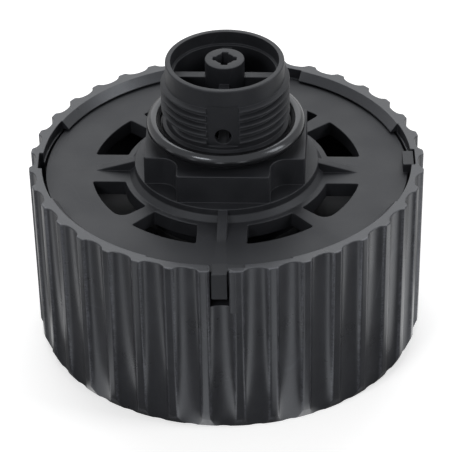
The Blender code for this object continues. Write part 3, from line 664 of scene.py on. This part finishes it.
def window(near, spoke_corner):
    """Four corners on two circles, joined by arcs. Only the real corners are rounded."""
    web = np.arcsin(WEB_HALF / np.array([WINDOW_INNER, WINDOW_OUTER]))
    spoke = np.pi / 4 - SPOKE_HALF
    share_of_arc = np.linspace(0, 1, ARC_POINTS)
    outer = web[1] + (spoke - web[1]) * share_of_arc
    inner = spoke + (web[0] - spoke) * share_of_arc
    angle = np.concatenate([outer, inner])
    radius = np.repeat([WINDOW_OUTER, WINDOW_INNER], ARC_POINTS)
    corner = np.zeros(2 * ARC_POINTS)
    corner[[0, ARC_POINTS, -1]] = SMALL_CORNER
    corner[ARC_POINTS - 1] = spoke_corner
    if not near:
        angle, radius, corner = np.pi / 2 - angle[::-1], radius[::-1], corner[::-1]
    flat = np.stack([radius * np.cos(angle), radius * np.sin(angle)], axis=1)
    return flat, corner


def soft_window(near, spoke_corner):
    """A corner's radius is longer than the arc's short sides, so the arc is cut back first.

    An arc's point goes if a corner within two steps of it is nearer than 1.2 times its radius.
    """
    flat, corner = window(near, spoke_corner)
    count = len(flat)
    step = np.arange(count)
    steps_apart = np.abs((step[:, None] - step + count // 2) % count - count // 2)
    distance = np.linalg.norm(flat[:, None] - flat, axis=2)
    too_near = (steps_apart <= 2) & (distance < 1.2 * corner[:, None])
    crowded = (corner == 0) & too_near.any(axis=0)
    return round_corners(np.column_stack([flat, corner])[~crowded], 5)


window_rows = [
    (0.12, PLATE_BOTTOM - ABOVE),
    (0.12, PLATE_BOTTOM - 0.05),
    (0, PLATE_BOTTOM + 0.12),
    *flare(0.14, PLATE_TOP),
    (0.14, PLATE_TOP + ABOVE),
]
rounder = {(LEFT, True), (FRONT, False)}
windows = [
    spun(raised(soft_window(near, ROUND_CORNER if (a, near) in rounder else SMALL_CORNER), window_rows), a)
    for a in QUARTERS
    for near in (True, False)
]
print("windows:", len(windows))

# %% The slot in the thread, its cross hole, and the post's recess
THREAD_FLAT, THREAD_SLOT_HALF, THREAD_SLOT_TOP = 11.8, 3.4, NECK_TOP - 3.6
HOLE_RADIUS, HOLE_LEVEL = 1.7, 52.85
OUTSIDE_THREAD = 14.5
SOCKET_DEPTH = 6
slot_flat = block(THREAD_FLAT, OUTSIDE_THREAD, -THREAD_SLOT_HALF, THREAD_SLOT_HALF, 0.12)
thread_slot = spun(raised(slot_flat, [(0, RING_TOP), (0, THREAD_SLOT_TOP)]), FRONT)
hole_angle = ring_angles(48)[None, :, None]
hole_out = np.array([4.5, 11.7, 11.78, 11.86, OUTSIDE_THREAD])[:, None, None]
hole_radius = HOLE_RADIUS + np.array([0, 0, 0.05, 0.15, 0.15])[:, None, None]
cross_hole = np.concatenate(
    [
        hole_radius * np.cos(hole_angle),
        -hole_out + 0 * hole_angle,
        HOLE_LEVEL + hole_radius * np.sin(hole_angle),
    ],
    axis=-1,
)


def recess_outline():
    """A circle with four arms: the reach at each angle is the larger of the two shapes'.

    An arm's reach is the lesser of its side's and its end's, blended softly by their powers.
    """
    a = ring_angles(192)
    from_axis = np.abs((a + np.pi / 4) % (np.pi / 2) - np.pi / 4)
    arm_length, arm_half, circle = 2.45, 0.7, 1.9
    side = arm_half / np.maximum(np.sin(from_axis), 1e-6)
    reach = (side ** -12 + (arm_length / np.cos(from_axis)) ** -12) ** (-1 / 12)
    r = np.maximum(circle, reach)
    r = (r + np.roll(r, 1) + np.roll(r, -1)) / 3
    return np.stack([r * np.cos(a), r * np.sin(a)], axis=1)


socket_rows = [(-0.35, POST_TOP - SOCKET_DEPTH), (-0.1, POST_TOP - 1.2)]
socket_rows += [*flare(0.1, POST_TOP), (0.1, POST_TOP + ABOVE)]
socket = raised(recess_outline(), socket_rows)

# %% [markdown]
# ## The lugs and the latch
#
# The plate's edge carries a lug that fills the notch at the right and another at the back. At
# the front a hook runs down over the outside of the plate and shows in the cap's slot. The hook
# is drawn from the side, as its outline bends there, and the rest are drawn from above.

# %% Lugs and latch tongue
LUG_TOP, TAB_TOP, TAB_THICKNESS = 39.3, 38.5, 2.2
TONGUE_FACE, TONGUE_BACK, TONGUE_FOOT = 40.3, 39.0, 32.5
GAP = 0.3
LUG_ROOT, LUG_REACH, LUG_HALF = 36.4, NOTCH_RADIUS - GAP, NOTCH_HALF - GAP
lug_rows = [(0, PLATE_BOTTOM + 0.5), *quarter_round(0.15, LUG_TOP)]
lug_flat = block(LUG_ROOT, LUG_REACH, -LUG_HALF, LUG_HALF, 0.25)
lugs = [spun(raised(lug_flat, lug_rows), a) for a in NOTCH_ANGLES[:2]]
hook_side = round_corners(
    [
        (LUG_ROOT, TAB_TOP - TAB_THICKNESS, 0),
        (TONGUE_BACK, TAB_TOP - TAB_THICKNESS, 0.2),
        (TONGUE_BACK, TONGUE_FOOT, 0.15),
        (TONGUE_FACE, TONGUE_FOOT, 0.2),
        (TONGUE_FACE, TAB_TOP, 0.3),
        (LUG_ROOT, TAB_TOP, 0),
    ],
    4,
)


def side_prism(outline, low, high, edge):
    """A (radius, height) outline carried sideways, pulled in by a rounding at both ends."""
    a = np.linspace(0, np.pi / 2, 4)
    inset = np.concatenate([edge * (np.sin(a) - 1), edge * (np.cos(a) - 1)])
    across = np.concatenate([low + edge * (1 - np.cos(a)), high - edge * (1 - np.sin(a))])
    flat = outline[None] + inset[:, None, None] * outward(outline)[None]
    sideways = np.broadcast_to(across[:, None, None], flat.shape[:2] + (1,))
    return np.concatenate([flat[..., :1], sideways, flat[..., 1:]], axis=-1)


tongue = spun(side_prism(hook_side, SLOT_LEFT + GAP, SLOT_RIGHT - GAP, 0.12), FRONT)
tab = raised(
    block(LUG_ROOT - 0.1, LUG_REACH, SLOT_RIGHT - 0.8, FRONT_NOTCH_RIGHT - GAP, 0.2),
    [(0, TAB_TOP - TAB_THICKNESS + 0.1), *quarter_round(0.12, TAB_TOP - 0.1)],
)

# %% Put the base together
base = combine(
    base,
    [
        (closed_mesh("hub", [hub]), "UNION"),
        (gussets, "UNION"),
        (ridge, "UNION"),
        (bore.data, "DIFFERENCE"),
        (closed_mesh("air_windows", windows), "DIFFERENCE"),
        (closed_mesh("thread_slot", [thread_slot]), "DIFFERENCE"),
        (closed_mesh("cross_hole", [cross_hole]), "DIFFERENCE"),
        (closed_mesh("post_socket", [socket]), "DIFFERENCE"),
        (closed_mesh("side_lugs", lugs), "UNION"),
        (closed_mesh("latch_tongue", [tongue]), "UNION"),
        (closed_mesh("latch_tab", [spun(tab, FRONT)]), "UNION"),
    ],
)
bpy.data.objects.remove(bore)
finish_shading(base)
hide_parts("base")

# %% [markdown]
# ## The sealing ring
#
# A plain rubber ring of round section. Where the halves of its mould met, it has a fine raised
# line round the outside, a little below the middle. A torus would have no such line, so the
# section is drawn and turned like the others.

# %% A ring with its parting line
RING_MIDDLE, RING_HALF, RING_CENTRE = 14.86, 1.5, 49.15
SEAM_HEIGHT, SEAM_ANGLE, SEAM_SPREAD = 0.03, np.radians(-14), 0.05


def ring_section(points=56):
    """A circle whose radius has a narrow bump at the seam, in the shape of a bell curve."""
    a = ring_angles(points)
    from_seam = (a - SEAM_ANGLE - np.pi) % TURN - np.pi
    r = RING_HALF - SEAM_HEIGHT + SEAM_HEIGHT * np.exp(-((from_seam / SEAM_SPREAD) ** 2))
    return np.stack([RING_MIDDLE + r * np.cos(a), RING_CENTRE + r * np.sin(a)], axis=1)


seal_ring = new_object(closed_mesh("seal_ring", [turned(ring_section(), 192)], ring=True))
finish_shading(seal_ring, np.radians(60))
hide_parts("o_ring")

# %% [markdown]
# ## The element inside
#
# Little of it shows through the windows, but it is what makes this a filter. The pleats are
# one sheet of paper folded round a slotted tube, held between two lipped plates, with a foam
# washer on top. The folds are drawn as a wave with rounded turns, because paper bent round a
# rule keeps a small radius there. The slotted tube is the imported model's own, as it hardly shows.

# %% End plates and foam washer
ELEMENT_RADIUS, PLATE_HOLE = 28.8, 13.85
UPPER_TOP, UPPER_BOTTOM, LOWER_TOP, LOWER_BOTTOM = 27.15, 25.65, 7.1, 5.6
LIP_DROP, LIP_INSIDE = 2.2, ELEMENT_RADIUS - 0.9
WASHER_INNER, WASHER_OUTER, WASHER_BOTTOM, WASHER_TOP = 13.55, 17.15, 27.45, 29.45
upper_section = round_corners(
    [
        (PLATE_HOLE, UPPER_BOTTOM, 0.1),
        (LIP_INSIDE, UPPER_BOTTOM, 0.1),
        (LIP_INSIDE, UPPER_BOTTOM - LIP_DROP, 0.15),
        (ELEMENT_RADIUS, UPPER_BOTTOM - LIP_DROP, 0.15),
        (ELEMENT_RADIUS, UPPER_TOP, 0.5),
        (PLATE_HOLE, UPPER_TOP, 0.2),
    ],
    3,
)
upper_plate = new_object(closed_mesh("upper_plate", [turned(upper_section, 144)], ring=True))
lower_profile = round_corners(
    [
        (0, LOWER_BOTTOM, 0),
        (ELEMENT_RADIUS, LOWER_BOTTOM, 0.4),
        (ELEMENT_RADIUS, LOWER_TOP + LIP_DROP, 0.15),
        (LIP_INSIDE, LOWER_TOP + LIP_DROP, 0.15),
        (LIP_INSIDE, LOWER_TOP, 0.1),
        (0, LOWER_TOP, 0),
    ],
    3,
)
lower_plate = new_object(closed_mesh("lower_plate", [turned(lower_profile, 144)]))
washer_section = block(WASHER_INNER, WASHER_OUTER, WASHER_BOTTOM, WASHER_TOP, 0.3)
washer = new_object(closed_mesh("foam_washer", [turned(washer_section, 144)], ring=True))
for piece, node, slot_name in (
    (upper_plate, "element_upper_plate", "end_plate_plastic"),
    (lower_plate, "element_lower_plate", "end_plate_plastic"),
    (washer, "element_seal", "foam_rubber"),
):
    finish_shading(piece)
    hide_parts(node)

# %% The folded paper
PLEATS = 44
PAPER = 0.7
MEDIA_INNER, MEDIA_OUTER, MEDIA_BOTTOM, MEDIA_TOP = 15.15, 27.6, 7.4, 25.35


def folded_sheet():
    """The middle of the sheet swings between two radii, as a triangle wave with soft turns.

    The two faces lie half the paper's thickness to each side, along the sheet's own normal.
    """
    u = np.arange(PLEATS * 20) / (PLEATS * 20)
    wave = np.arcsin(0.97 * np.sin(TURN * PLEATS * u)) / np.arcsin(0.97)
    middle, swing = (MEDIA_OUTER + MEDIA_INNER) / 2, (MEDIA_OUTER - MEDIA_INNER) / 2 - PAPER / 2
    r, a = middle + swing * wave, TURN * u
    centre = np.stack([r * np.cos(a), r * np.sin(a)], axis=1)
    ahead = np.roll(centre, -1, axis=0) - np.roll(centre, 1, axis=0)
    normal = np.stack([ahead[:, 1], -ahead[:, 0]], axis=1)
    normal /= np.linalg.norm(normal, axis=1, keepdims=True)
    outer, inner = centre + normal * PAPER / 2, centre - normal * PAPER / 2
    rows = [(outer, MEDIA_BOTTOM), (outer, MEDIA_TOP), (inner, MEDIA_TOP), (inner, MEDIA_BOTTOM)]
    return np.stack([np.column_stack([flat, np.full(len(flat), z)]) for flat, z in rows])


paper = new_object(closed_mesh("folded_paper", [folded_sheet()], ring=True))
finish_shading(paper)
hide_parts("pleated_media")

# %% [markdown]
# ## Shared effects for the materials
#
# Three effects are used by several materials, so each is a node group with named inputs. The
# grain is the fine sparkle of spark-eroded moulds: small bumps and a roughness that wanders.
# The handling marks are pale smears and thin scratches. The soft edge reads how far a rounded
# normal leans away from the true one, and so finds the edges, which are painted paler, partly
# as rubbed wear and partly as a painted highlight.

# %% Helpers for node groups
def new_group(name, inputs, outputs):
    """A node group with its inputs (name, kind, value) and its outputs (name, kind)."""
    group = bpy.data.node_groups.new(name, "ShaderNodeTree")
    for label, kind, value in inputs:
        socket = group.interface.new_socket(label, in_out="INPUT", socket_type=kind)
        if value is not None:
            socket.default_value = value
    for label, kind in outputs:
        group.interface.new_socket(label, in_out="OUTPUT", socket_type=kind)
    return group, group.nodes.new("NodeGroupInput"), group.nodes.new("NodeGroupOutput")


def node(tree, kind, **settings):
    """A new node of this kind with these settings."""
    made = tree.nodes.new(kind)
    for name, value in settings.items():
        setattr(made, name, value)
    return made


def maths(tree, operation, *operands):
    """A Math node. Each operand is a number or a socket."""
    made = node(tree, "ShaderNodeMath", operation=operation)
    for socket, value in zip(made.inputs, operands):
        if isinstance(value, (int, float)):
            socket.default_value = value
        else:
            tree.links.new(value, socket)
    return made.outputs[0]


def spread(tree, value, low, high, to_low, to_high):
    """A Map Range node: low gives to_low, high gives to_high, and it is clamped beyond them."""
    made = node(tree, "ShaderNodeMapRange", clamp=True)
    tree.links.new(value, made.inputs["Value"])
    for label, number in zip(("From Min", "From Max", "To Min", "To Max"), (low, high, to_low, to_high)):
        made.inputs[label].default_value = number
    return made.outputs["Result"]


def noise(tree, vector, scale, detail=2.0, roughness=0.5):
    """The value of a Noise node, whose scale is a number or a socket."""
    made = node(tree, "ShaderNodeTexNoise")
    tree.links.new(vector, made.inputs["Vector"])
    if isinstance(scale, (int, float)):
        made.inputs["Scale"].default_value = scale
    else:
        tree.links.new(scale, made.inputs["Scale"])
    made.inputs["Detail"].default_value = detail
    made.inputs["Roughness"].default_value = roughness
    return made.outputs["Fac"]


# %% The grain of a mould's surface
FLOAT, VECTOR = "NodeSocketFloat", "NodeSocketVector"


def make_grain():
    """Two noises, one over four times finer, give a height. A third, slow one gives patches."""
    group, start, end = new_group(
        "mould_grain",
        [("Position", VECTOR, None), ("Grain Scale", FLOAT, 2500.0), ("Patch Scale", FLOAT, 120.0)],
        [("Height", FLOAT), ("Speckle", FLOAT), ("Patches", FLOAT)],
    )
    position = start.outputs["Position"]
    fine = noise(group, position, start.outputs["Grain Scale"], 3.0, 0.6)
    coarse_scale = maths(group, "MULTIPLY", start.outputs["Grain Scale"], 0.22)
    coarse = noise(group, position, coarse_scale, 2.0, 0.5)
    patches = noise(group, position, start.outputs["Patch Scale"], 4.0, 0.6)
    fine_share = maths(group, "MULTIPLY", fine, 0.65)
    height = maths(group, "ADD", fine_share, maths(group, "MULTIPLY", coarse, 0.35))
    group.links.new(height, end.inputs["Height"])
    group.links.new(spread(group, height, 0.42, 0.62, 0, 1), end.inputs["Speckle"])
    group.links.new(spread(group, patches, 0.35, 0.68, 0, 1), end.inputs["Patches"])
    return group


def make_marks():
    """Smears are a stretched slow noise. Scratches are thin borders of cells, with gaps in them."""
    group, start, end = new_group(
        "handling_marks",
        [("Position", VECTOR, None), ("Scratch Scale", FLOAT, 90.0)],
        [("Smears", FLOAT), ("Scratches", FLOAT)],
    )
    stretch = node(group, "ShaderNodeMapping")
    stretch.inputs["Scale"].default_value = (60, 95, 30)
    stretch.inputs["Rotation"].default_value = (0.3, 0.2, 0.9)
    group.links.new(start.outputs["Position"], stretch.inputs["Vector"])
    smears = noise(group, stretch.outputs["Vector"], 1.0, 5.0, 0.62)
    cells = node(group, "ShaderNodeTexVoronoi", feature="DISTANCE_TO_EDGE")
    group.links.new(start.outputs["Position"], cells.inputs["Vector"])
    group.links.new(start.outputs["Scratch Scale"], cells.inputs["Scale"])
    lines = spread(group, cells.outputs["Distance"], 0.0, 0.012, 1, 0)
    broken = spread(group, noise(group, start.outputs["Position"], 55.0, 2.0), 0.56, 0.66, 0, 1)
    group.links.new(spread(group, smears, 0.5, 0.75, 0, 1), end.inputs["Smears"])
    group.links.new(maths(group, "MULTIPLY", lines, broken), end.inputs["Scratches"])
    return group


def make_soft_edge():
    """One minus the dot product of the rounded and the true normal, stretched to 0 to 1."""
    group, start, end = new_group(
        "soft_edge", [("Radius", FLOAT, 0.0002)], [("Normal", VECTOR), ("Edge", FLOAT)]
    )
    rounded = node(group, "ShaderNodeBevel", samples=4)
    group.links.new(start.outputs["Radius"], rounded.inputs["Radius"])
    true = node(group, "ShaderNodeNewGeometry")
    dot = node(group, "ShaderNodeVectorMath", operation="DOT_PRODUCT")
    group.links.new(rounded.outputs["Normal"], dot.inputs[0])
    group.links.new(true.outputs["Normal"], dot.inputs[1])
    group.links.new(rounded.outputs["Normal"], end.inputs["Normal"])
    group.links.new(spread(group, dot.outputs["Value"], 0.98, 0.72, 0, 1), end.inputs["Edge"])
    return group


GRAIN, MARKS, SOFT_EDGE = make_grain(), make_marks(), make_soft_edge()
print("shared effects:", ", ".join(group.name for group in (GRAIN, MARKS, SOFT_EDGE)))

# %% [markdown]
# ## The materials
#
# Black moulded plastic isn't black: it is a very dark grey whose look comes from the sheen of
# its grain, here with a slightly blue tint. The cap has a coarse, dry grain, and the shoulders of
# its crests are painted paler, partly as wear from hands and partly as a painted highlight. The
# base is smoother, so its flat plate shines where it mirrors the pale studio, and its upright
# faces, which mirror the plate, stay dark. One function makes every material of the object,
# because foam, rubber and paper differ from the plastic only in their colours, their gloss,
# their grain and how pale their edges are painted.

# %% Black plastic, for every moulding
PATCH_SCALE, SCRATCH_SCALE, EDGE_WIDTH_MM = 110.0, 80.0, 0.22
SHEEN_TINT = (0.90, 0.94, 1.0, 1)
COARSE, SMOOTH = 0.00003, 0.000012
# The last of these makes the paler colour for edges, crests and scratches: wear, and on edges and crests
# also a painted highlight.
SPECKLE_SHARE, SMEAR_SHARE, SCRATCH_SHARE, WEAR_AND_HIGHLIGHT_PALER = 0.3, 0.22, 0.25, 2.2
GLOSS_WANDER = 0.10


def plug(tree, group, position=None, **values):
    """A shared effect placed in a material, with that material's own values."""
    made = node(tree, "ShaderNodeGroup", node_tree=group)
    if position is not None:
        tree.links.new(position, made.inputs["Position"])
    for label, value in values.items():
        made.inputs[label.replace("_", " ")].default_value = value
    return made.outputs


def mix_colours(tree, share_socket, first, second):
    """From the first colour to the second as the share goes from 0 to 1."""
    made = node(tree, "ShaderNodeMix", data_type="RGBA")
    tree.links.new(share_socket, made.inputs["Factor"])
    for socket, value in ((made.inputs[6], first), (made.inputs[7], second)):
        if isinstance(value, tuple):
            socket.default_value = (*value, 1)
        else:
            tree.links.new(value, socket)
    return made.outputs[2]


# The mask of the crest shoulders, which are painted paler, partly as wear from hands and partly as a
# painted highlight.
def crest_shoulder_mask(tree, position):
    """Where the radius is from 0.1 to 0.35 mm short of the crests' own at that height.

    The crests' radius grows in a line with the height, by the cap's draft over its full height.
    """
    apart = node(tree, "ShaderNodeSeparateXYZ")
    tree.links.new(position, apart.inputs[0])
    flat = node(tree, "ShaderNodeVectorMath", operation="MULTIPLY")
    tree.links.new(position, flat.inputs[0])
    flat.inputs[1].default_value = (1, 1, 0)
    radius = node(tree, "ShaderNodeVectorMath", operation="LENGTH")
    tree.links.new(flat.outputs["Vector"], radius.inputs[0])
    crest = maths(tree, "MULTIPLY_ADD", apart.outputs["Z"], CAP_DRAFT / RIM_LEVEL, FOOT_RADIUS * MM)
    depth = maths(tree, "SUBTRACT", crest, radius.outputs["Value"])
    shallow = spread(tree, depth, 0.02 * MM, 0.10 * MM, 0, 1)
    return maths(tree, "MULTIPLY", shallow, spread(tree, depth, 0.35 * MM, 0.6 * MM, 1, 0))


def moulded_plastic(
    name, dark, pale, gloss, grain_scale, grain_depth, edge_wear_highlight_share=0.35, specular=0.5, crest_wear_highlight_share=0
):
    """Base colour wanders from dark to pale with the patches, and marks are paler. Edges are
    painted paler too, partly as wear and partly as a painted highlight.

    The grain's depth is in metres, its scale is in cells per metre, and the last argument is the
    share of the paler paint on the cap's crests, partly wear and partly a painted highlight.
    """
    material = bpy.data.materials.new(name)
    material.use_nodes = True
    tree = material.node_tree
    shader = tree.nodes["Principled BSDF"]
    shader.inputs["Specular IOR Level"].default_value = specular
    shader.inputs["Specular Tint"].default_value = SHEEN_TINT
    position = node(tree, "ShaderNodeTexCoord").outputs["Object"]
    grain = plug(tree, GRAIN, position, Grain_Scale=grain_scale, Patch_Scale=PATCH_SCALE)
    marks = plug(tree, MARKS, position, Scratch_Scale=SCRATCH_SCALE)
    edge = plug(tree, SOFT_EDGE, Radius=EDGE_WIDTH_MM * MM)
    between = tuple(0.55 * d + 0.45 * p for d, p in zip(dark, pale))
    colour = mix_colours(tree, grain["Patches"], dark, between)
    speckled = maths(tree, "MULTIPLY", grain["Speckle"], SPECKLE_SHARE)
    colour = mix_colours(tree, speckled, colour, pale)
    smeared = maths(tree, "MULTIPLY", marks["Smears"], SMEAR_SHARE)
    colour = mix_colours(tree, smeared, colour, pale)
    # Edges are painted paler, partly as rubbed wear and partly as a painted highlight. The same paler
    # colour serves the crests and the scratches.
    paler_edge_wear_and_highlight = maths(tree, "MULTIPLY", edge["Edge"], edge_wear_highlight_share)
    wear_and_highlight_pale = tuple(min(1, WEAR_AND_HIGHLIGHT_PALER * p) for p in pale)
    colour = mix_colours(tree, paler_edge_wear_and_highlight, colour, wear_and_highlight_pale)
    # The crest shoulders are painted paler and mottled, partly as wear and partly as a painted highlight.
    if crest_wear_highlight_share:
        paler_crest_wear_and_highlight = maths(tree, "MULTIPLY", crest_shoulder_mask(tree, position), crest_wear_highlight_share)
        paler_crest_wear_and_highlight = maths(tree, "MULTIPLY", paler_crest_wear_and_highlight, maths(tree, "ADD", marks["Smears"], grain["Speckle"]))
        colour = mix_colours(tree, paler_crest_wear_and_highlight, colour, wear_and_highlight_pale)
    scratched = maths(tree, "MULTIPLY", marks["Scratches"], SCRATCH_SHARE)
    colour = mix_colours(tree, scratched, colour, wear_and_highlight_pale)
    tree.links.new(colour, shader.inputs["Base Color"])
    wander = maths(tree, "MULTIPLY_ADD", grain["Patches"], GLOSS_WANDER, gloss - GLOSS_WANDER / 2)
    tree.links.new(wander, shader.inputs["Roughness"])
    bump = node(tree, "ShaderNodeBump")
    bump.inputs["Distance"].default_value = grain_depth
    bump.inputs["Strength"].default_value = 1.0
    tree.links.new(grain["Height"], bump.inputs["Height"])
    tree.links.new(edge["Normal"], bump.inputs["Normal"])
    tree.links.new(bump.outputs["Normal"], shader.inputs["Normal"])
    return material


def wear(obj, material):
    """The object gets this material and no other."""
    obj.data.materials.clear()
    obj.data.materials.append(material)


cap_black = moulded_plastic(
    "cap_black",
    dark=(0.015, 0.0155, 0.018),
    pale=(0.030, 0.031, 0.036),
    gloss=0.32,
    grain_scale=2600,
    grain_depth=COARSE,
    # Share of paler paint on the edges: partly wear, partly a painted highlight.
    edge_wear_highlight_share=0.6,
    # Share of paler paint on the crest shoulders: partly wear, partly a painted highlight.
    crest_wear_highlight_share=0.9,
)
base_black = moulded_plastic(
    "base_black",
    dark=(0.0095, 0.010, 0.0117),
    pale=(0.019, 0.0195, 0.0225),
    gloss=0.50,
    grain_scale=4200,
    grain_depth=SMOOTH,
    # Share of paler paint on the edges: partly wear, partly a painted highlight.
    edge_wear_highlight_share=0.9,
    specular=0.30,
)
wear(cap, cap_black)
wear(base, base_black)

# %% Rubber, foam, end plates, tube and paper
# The sixth value of a finish, where given, is its share of paler paint on the edges, partly wear and
# partly a painted highlight.
OTHER_FINISHES = {
    "ring_rubber": ((0.006, 0.006, 0.007), (0.011, 0.011, 0.012), 0.17, 5200, 0.000002, 0.0),
    "foam_rubber": ((0.020, 0.020, 0.021), (0.045, 0.045, 0.047), 0.85, 1800, 0.0002, 0.1, 0.2),
    "end_plate_black": ((0.010, 0.010, 0.011), (0.020, 0.020, 0.022), 0.60, 2600, COARSE, 0.1, 0.2),
    "tube_black": ((0.022, 0.022, 0.024), (0.05, 0.05, 0.052), 0.50, 2600, COARSE),
    "paper_cream": ((0.60, 0.54, 0.40), (0.78, 0.72, 0.57), 0.90, 3500, 0.00008, 0.1, 0.2),
}
finishes = {name: moulded_plastic(name, *finish) for name, finish in OTHER_FINISHES.items()}
wear(seal_ring, finishes["ring_rubber"])
wear(washer, finishes["foam_rubber"])
wear(upper_plate, finishes["end_plate_black"])
wear(lower_plate, finishes["end_plate_black"])
wear(paper, finishes["paper_cream"])
wear(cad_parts["support_tube"], finishes["tube_black"])
print("materials:", 2 + len(finishes))

# %% [markdown]
# ## Floor, lights and studio
#
# The photograph is cut out on white. A pale floor stands in for it, and the world shows white
# to the camera and to reflections, while four soft lamps and a dimmer world give the level of
# the light. The flutes in the photograph carry narrow bright lines between dark bands, as if
# white cards lay round the object on a dark table. So in reflections alone, the floor is dark
# grey with a few white sectors. Each is given by its direction from the object's axis, half
# its width, and its strength.

# %% The floor, and the sectors that reflections show white
FLOOR_WHITE, FLOOR_GREY, CAMERA_LIFT = 0.86, 0.32, 0.45
WHITE_SECTORS = (
    (-168, 5, 1.1),
    (-133, 4, 1.2),
    (-96, 4, 1.7),
    (-66, 5, 1.7),
    (-4, 13, 1.4),
    (60, 30, 0.8),
    (150, 20, 0.8),
)


def sector(tree, direction, degrees, half_width, strength):
    """Full strength up to half the half width from the middle, and none past one and a half."""
    angle = np.radians(degrees)
    dot = node(tree, "ShaderNodeVectorMath", operation="DOT_PRODUCT")
    tree.links.new(direction, dot.inputs[0])
    dot.inputs[1].default_value = (np.cos(angle), np.sin(angle), 0)
    edge, full = np.cos(np.radians([1.5 * half_width, 0.5 * half_width]))
    return spread(tree, dot.outputs["Value"], edge, full, 0, strength)


FLOOR_HALF = 3000.0
floor_points = np.array([(-1, -1, 0), (1, -1, 0), (1, 1, 0), (-1, 1, 0)]) * FLOOR_HALF
floor_mesh = bpy.data.meshes.new("floor")
floor_mesh.from_pydata((floor_points * MM).tolist(), [], [(0, 1, 2, 3)])
floor = new_object(floor_mesh)
floor_white = bpy.data.materials.new("floor_white")
floor_white.use_nodes = True
tree = floor_white.node_tree
shader = tree.nodes["Principled BSDF"]
shader.inputs["Roughness"].default_value = 0.9
shader.inputs["Specular IOR Level"].default_value = 0.1
path = node(tree, "ShaderNodeLightPath")
mirrored = path.outputs["Is Glossy Ray"]
grey = mix_colours(tree, mirrored, 3 * (FLOOR_WHITE,), 3 * (FLOOR_GREY,))
tree.links.new(grey, shader.inputs["Base Color"])
outwards = node(tree, "ShaderNodeVectorMath", operation="NORMALIZE")
tree.links.new(node(tree, "ShaderNodeTexCoord").outputs["Object"], outwards.inputs[0])
white = 0
for place_size_strength in WHITE_SECTORS:
    white = maths(tree, "ADD", sector(tree, outwards.outputs["Vector"], *place_size_strength), white)
lift = maths(tree, "MULTIPLY", path.outputs["Is Camera Ray"], CAMERA_LIFT)
lift = maths(tree, "ADD", lift, maths(tree, "MULTIPLY", mirrored, white))
shader.inputs["Emission Color"].default_value = (1, 1, 1, 1)
tree.links.new(lift, shader.inputs["Emission Strength"])
wear(floor, floor_white)

# %% The world and the lamps
WORLD_LEVEL = 0.35
world = bpy.data.worlds.new("studio")
bpy.context.scene.world = world
world.use_nodes = True
tree = world.node_tree
background = tree.nodes["Background"]
background.inputs["Color"].default_value = (1, 1, 1, 1)
path = node(tree, "ShaderNodeLightPath")
seen = maths(tree, "MAXIMUM", path.outputs["Is Camera Ray"], path.outputs["Is Glossy Ray"])
seen = maths(tree, "MAXIMUM", seen, path.outputs["Is Transmission Ray"])
level = maths(tree, "MULTIPLY_ADD", seen, 1 - WORLD_LEVEL, WORLD_LEVEL)
tree.links.new(level, background.inputs["Strength"])


def soft_lamp(name, place_mm, size_mm, power):
    """A rectangular area lamp that points at the middle of the cap's rim."""
    lamp = bpy.data.lights.new(name, "AREA")
    lamp.shape = "RECTANGLE"
    lamp.size, lamp.size_y = size_mm[0] * MM, size_mm[1] * MM
    lamp.energy = power
    obj = bpy.data.objects.new(name, lamp)
    obj.location = Vector(place_mm) * MM
    aim = Vector((0, 0, RIM_LEVEL)) * MM - obj.location
    obj.rotation_euler = aim.to_track_quat("-Z", "Y").to_euler()
    bpy.context.scene.collection.objects.link(obj)
    print(f"{name}: {power} W")


soft_lamp("front_left", (-420, -620, 560), (300, 220), 2.4)
soft_lamp("right", (680, -120, 420), (260, 420), 1.9)
soft_lamp("behind", (-42, 848, 569), (900, 500), 1.5)
soft_lamp("above_behind", (-60, 420, 720), (700, 300), 2.2)

# %% [markdown]
# ## Finish
#
# Nothing on this object moves, so every piece rides on its one body. The view transform is set
# to Standard, so that a colour renders as it is written.

# %% Ride and colour management
for piece in (cap, base, seal_ring, washer, upper_plate, lower_plate, paper):
    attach(piece, "root")
bpy.context.scene.view_settings.view_transform = "Standard"
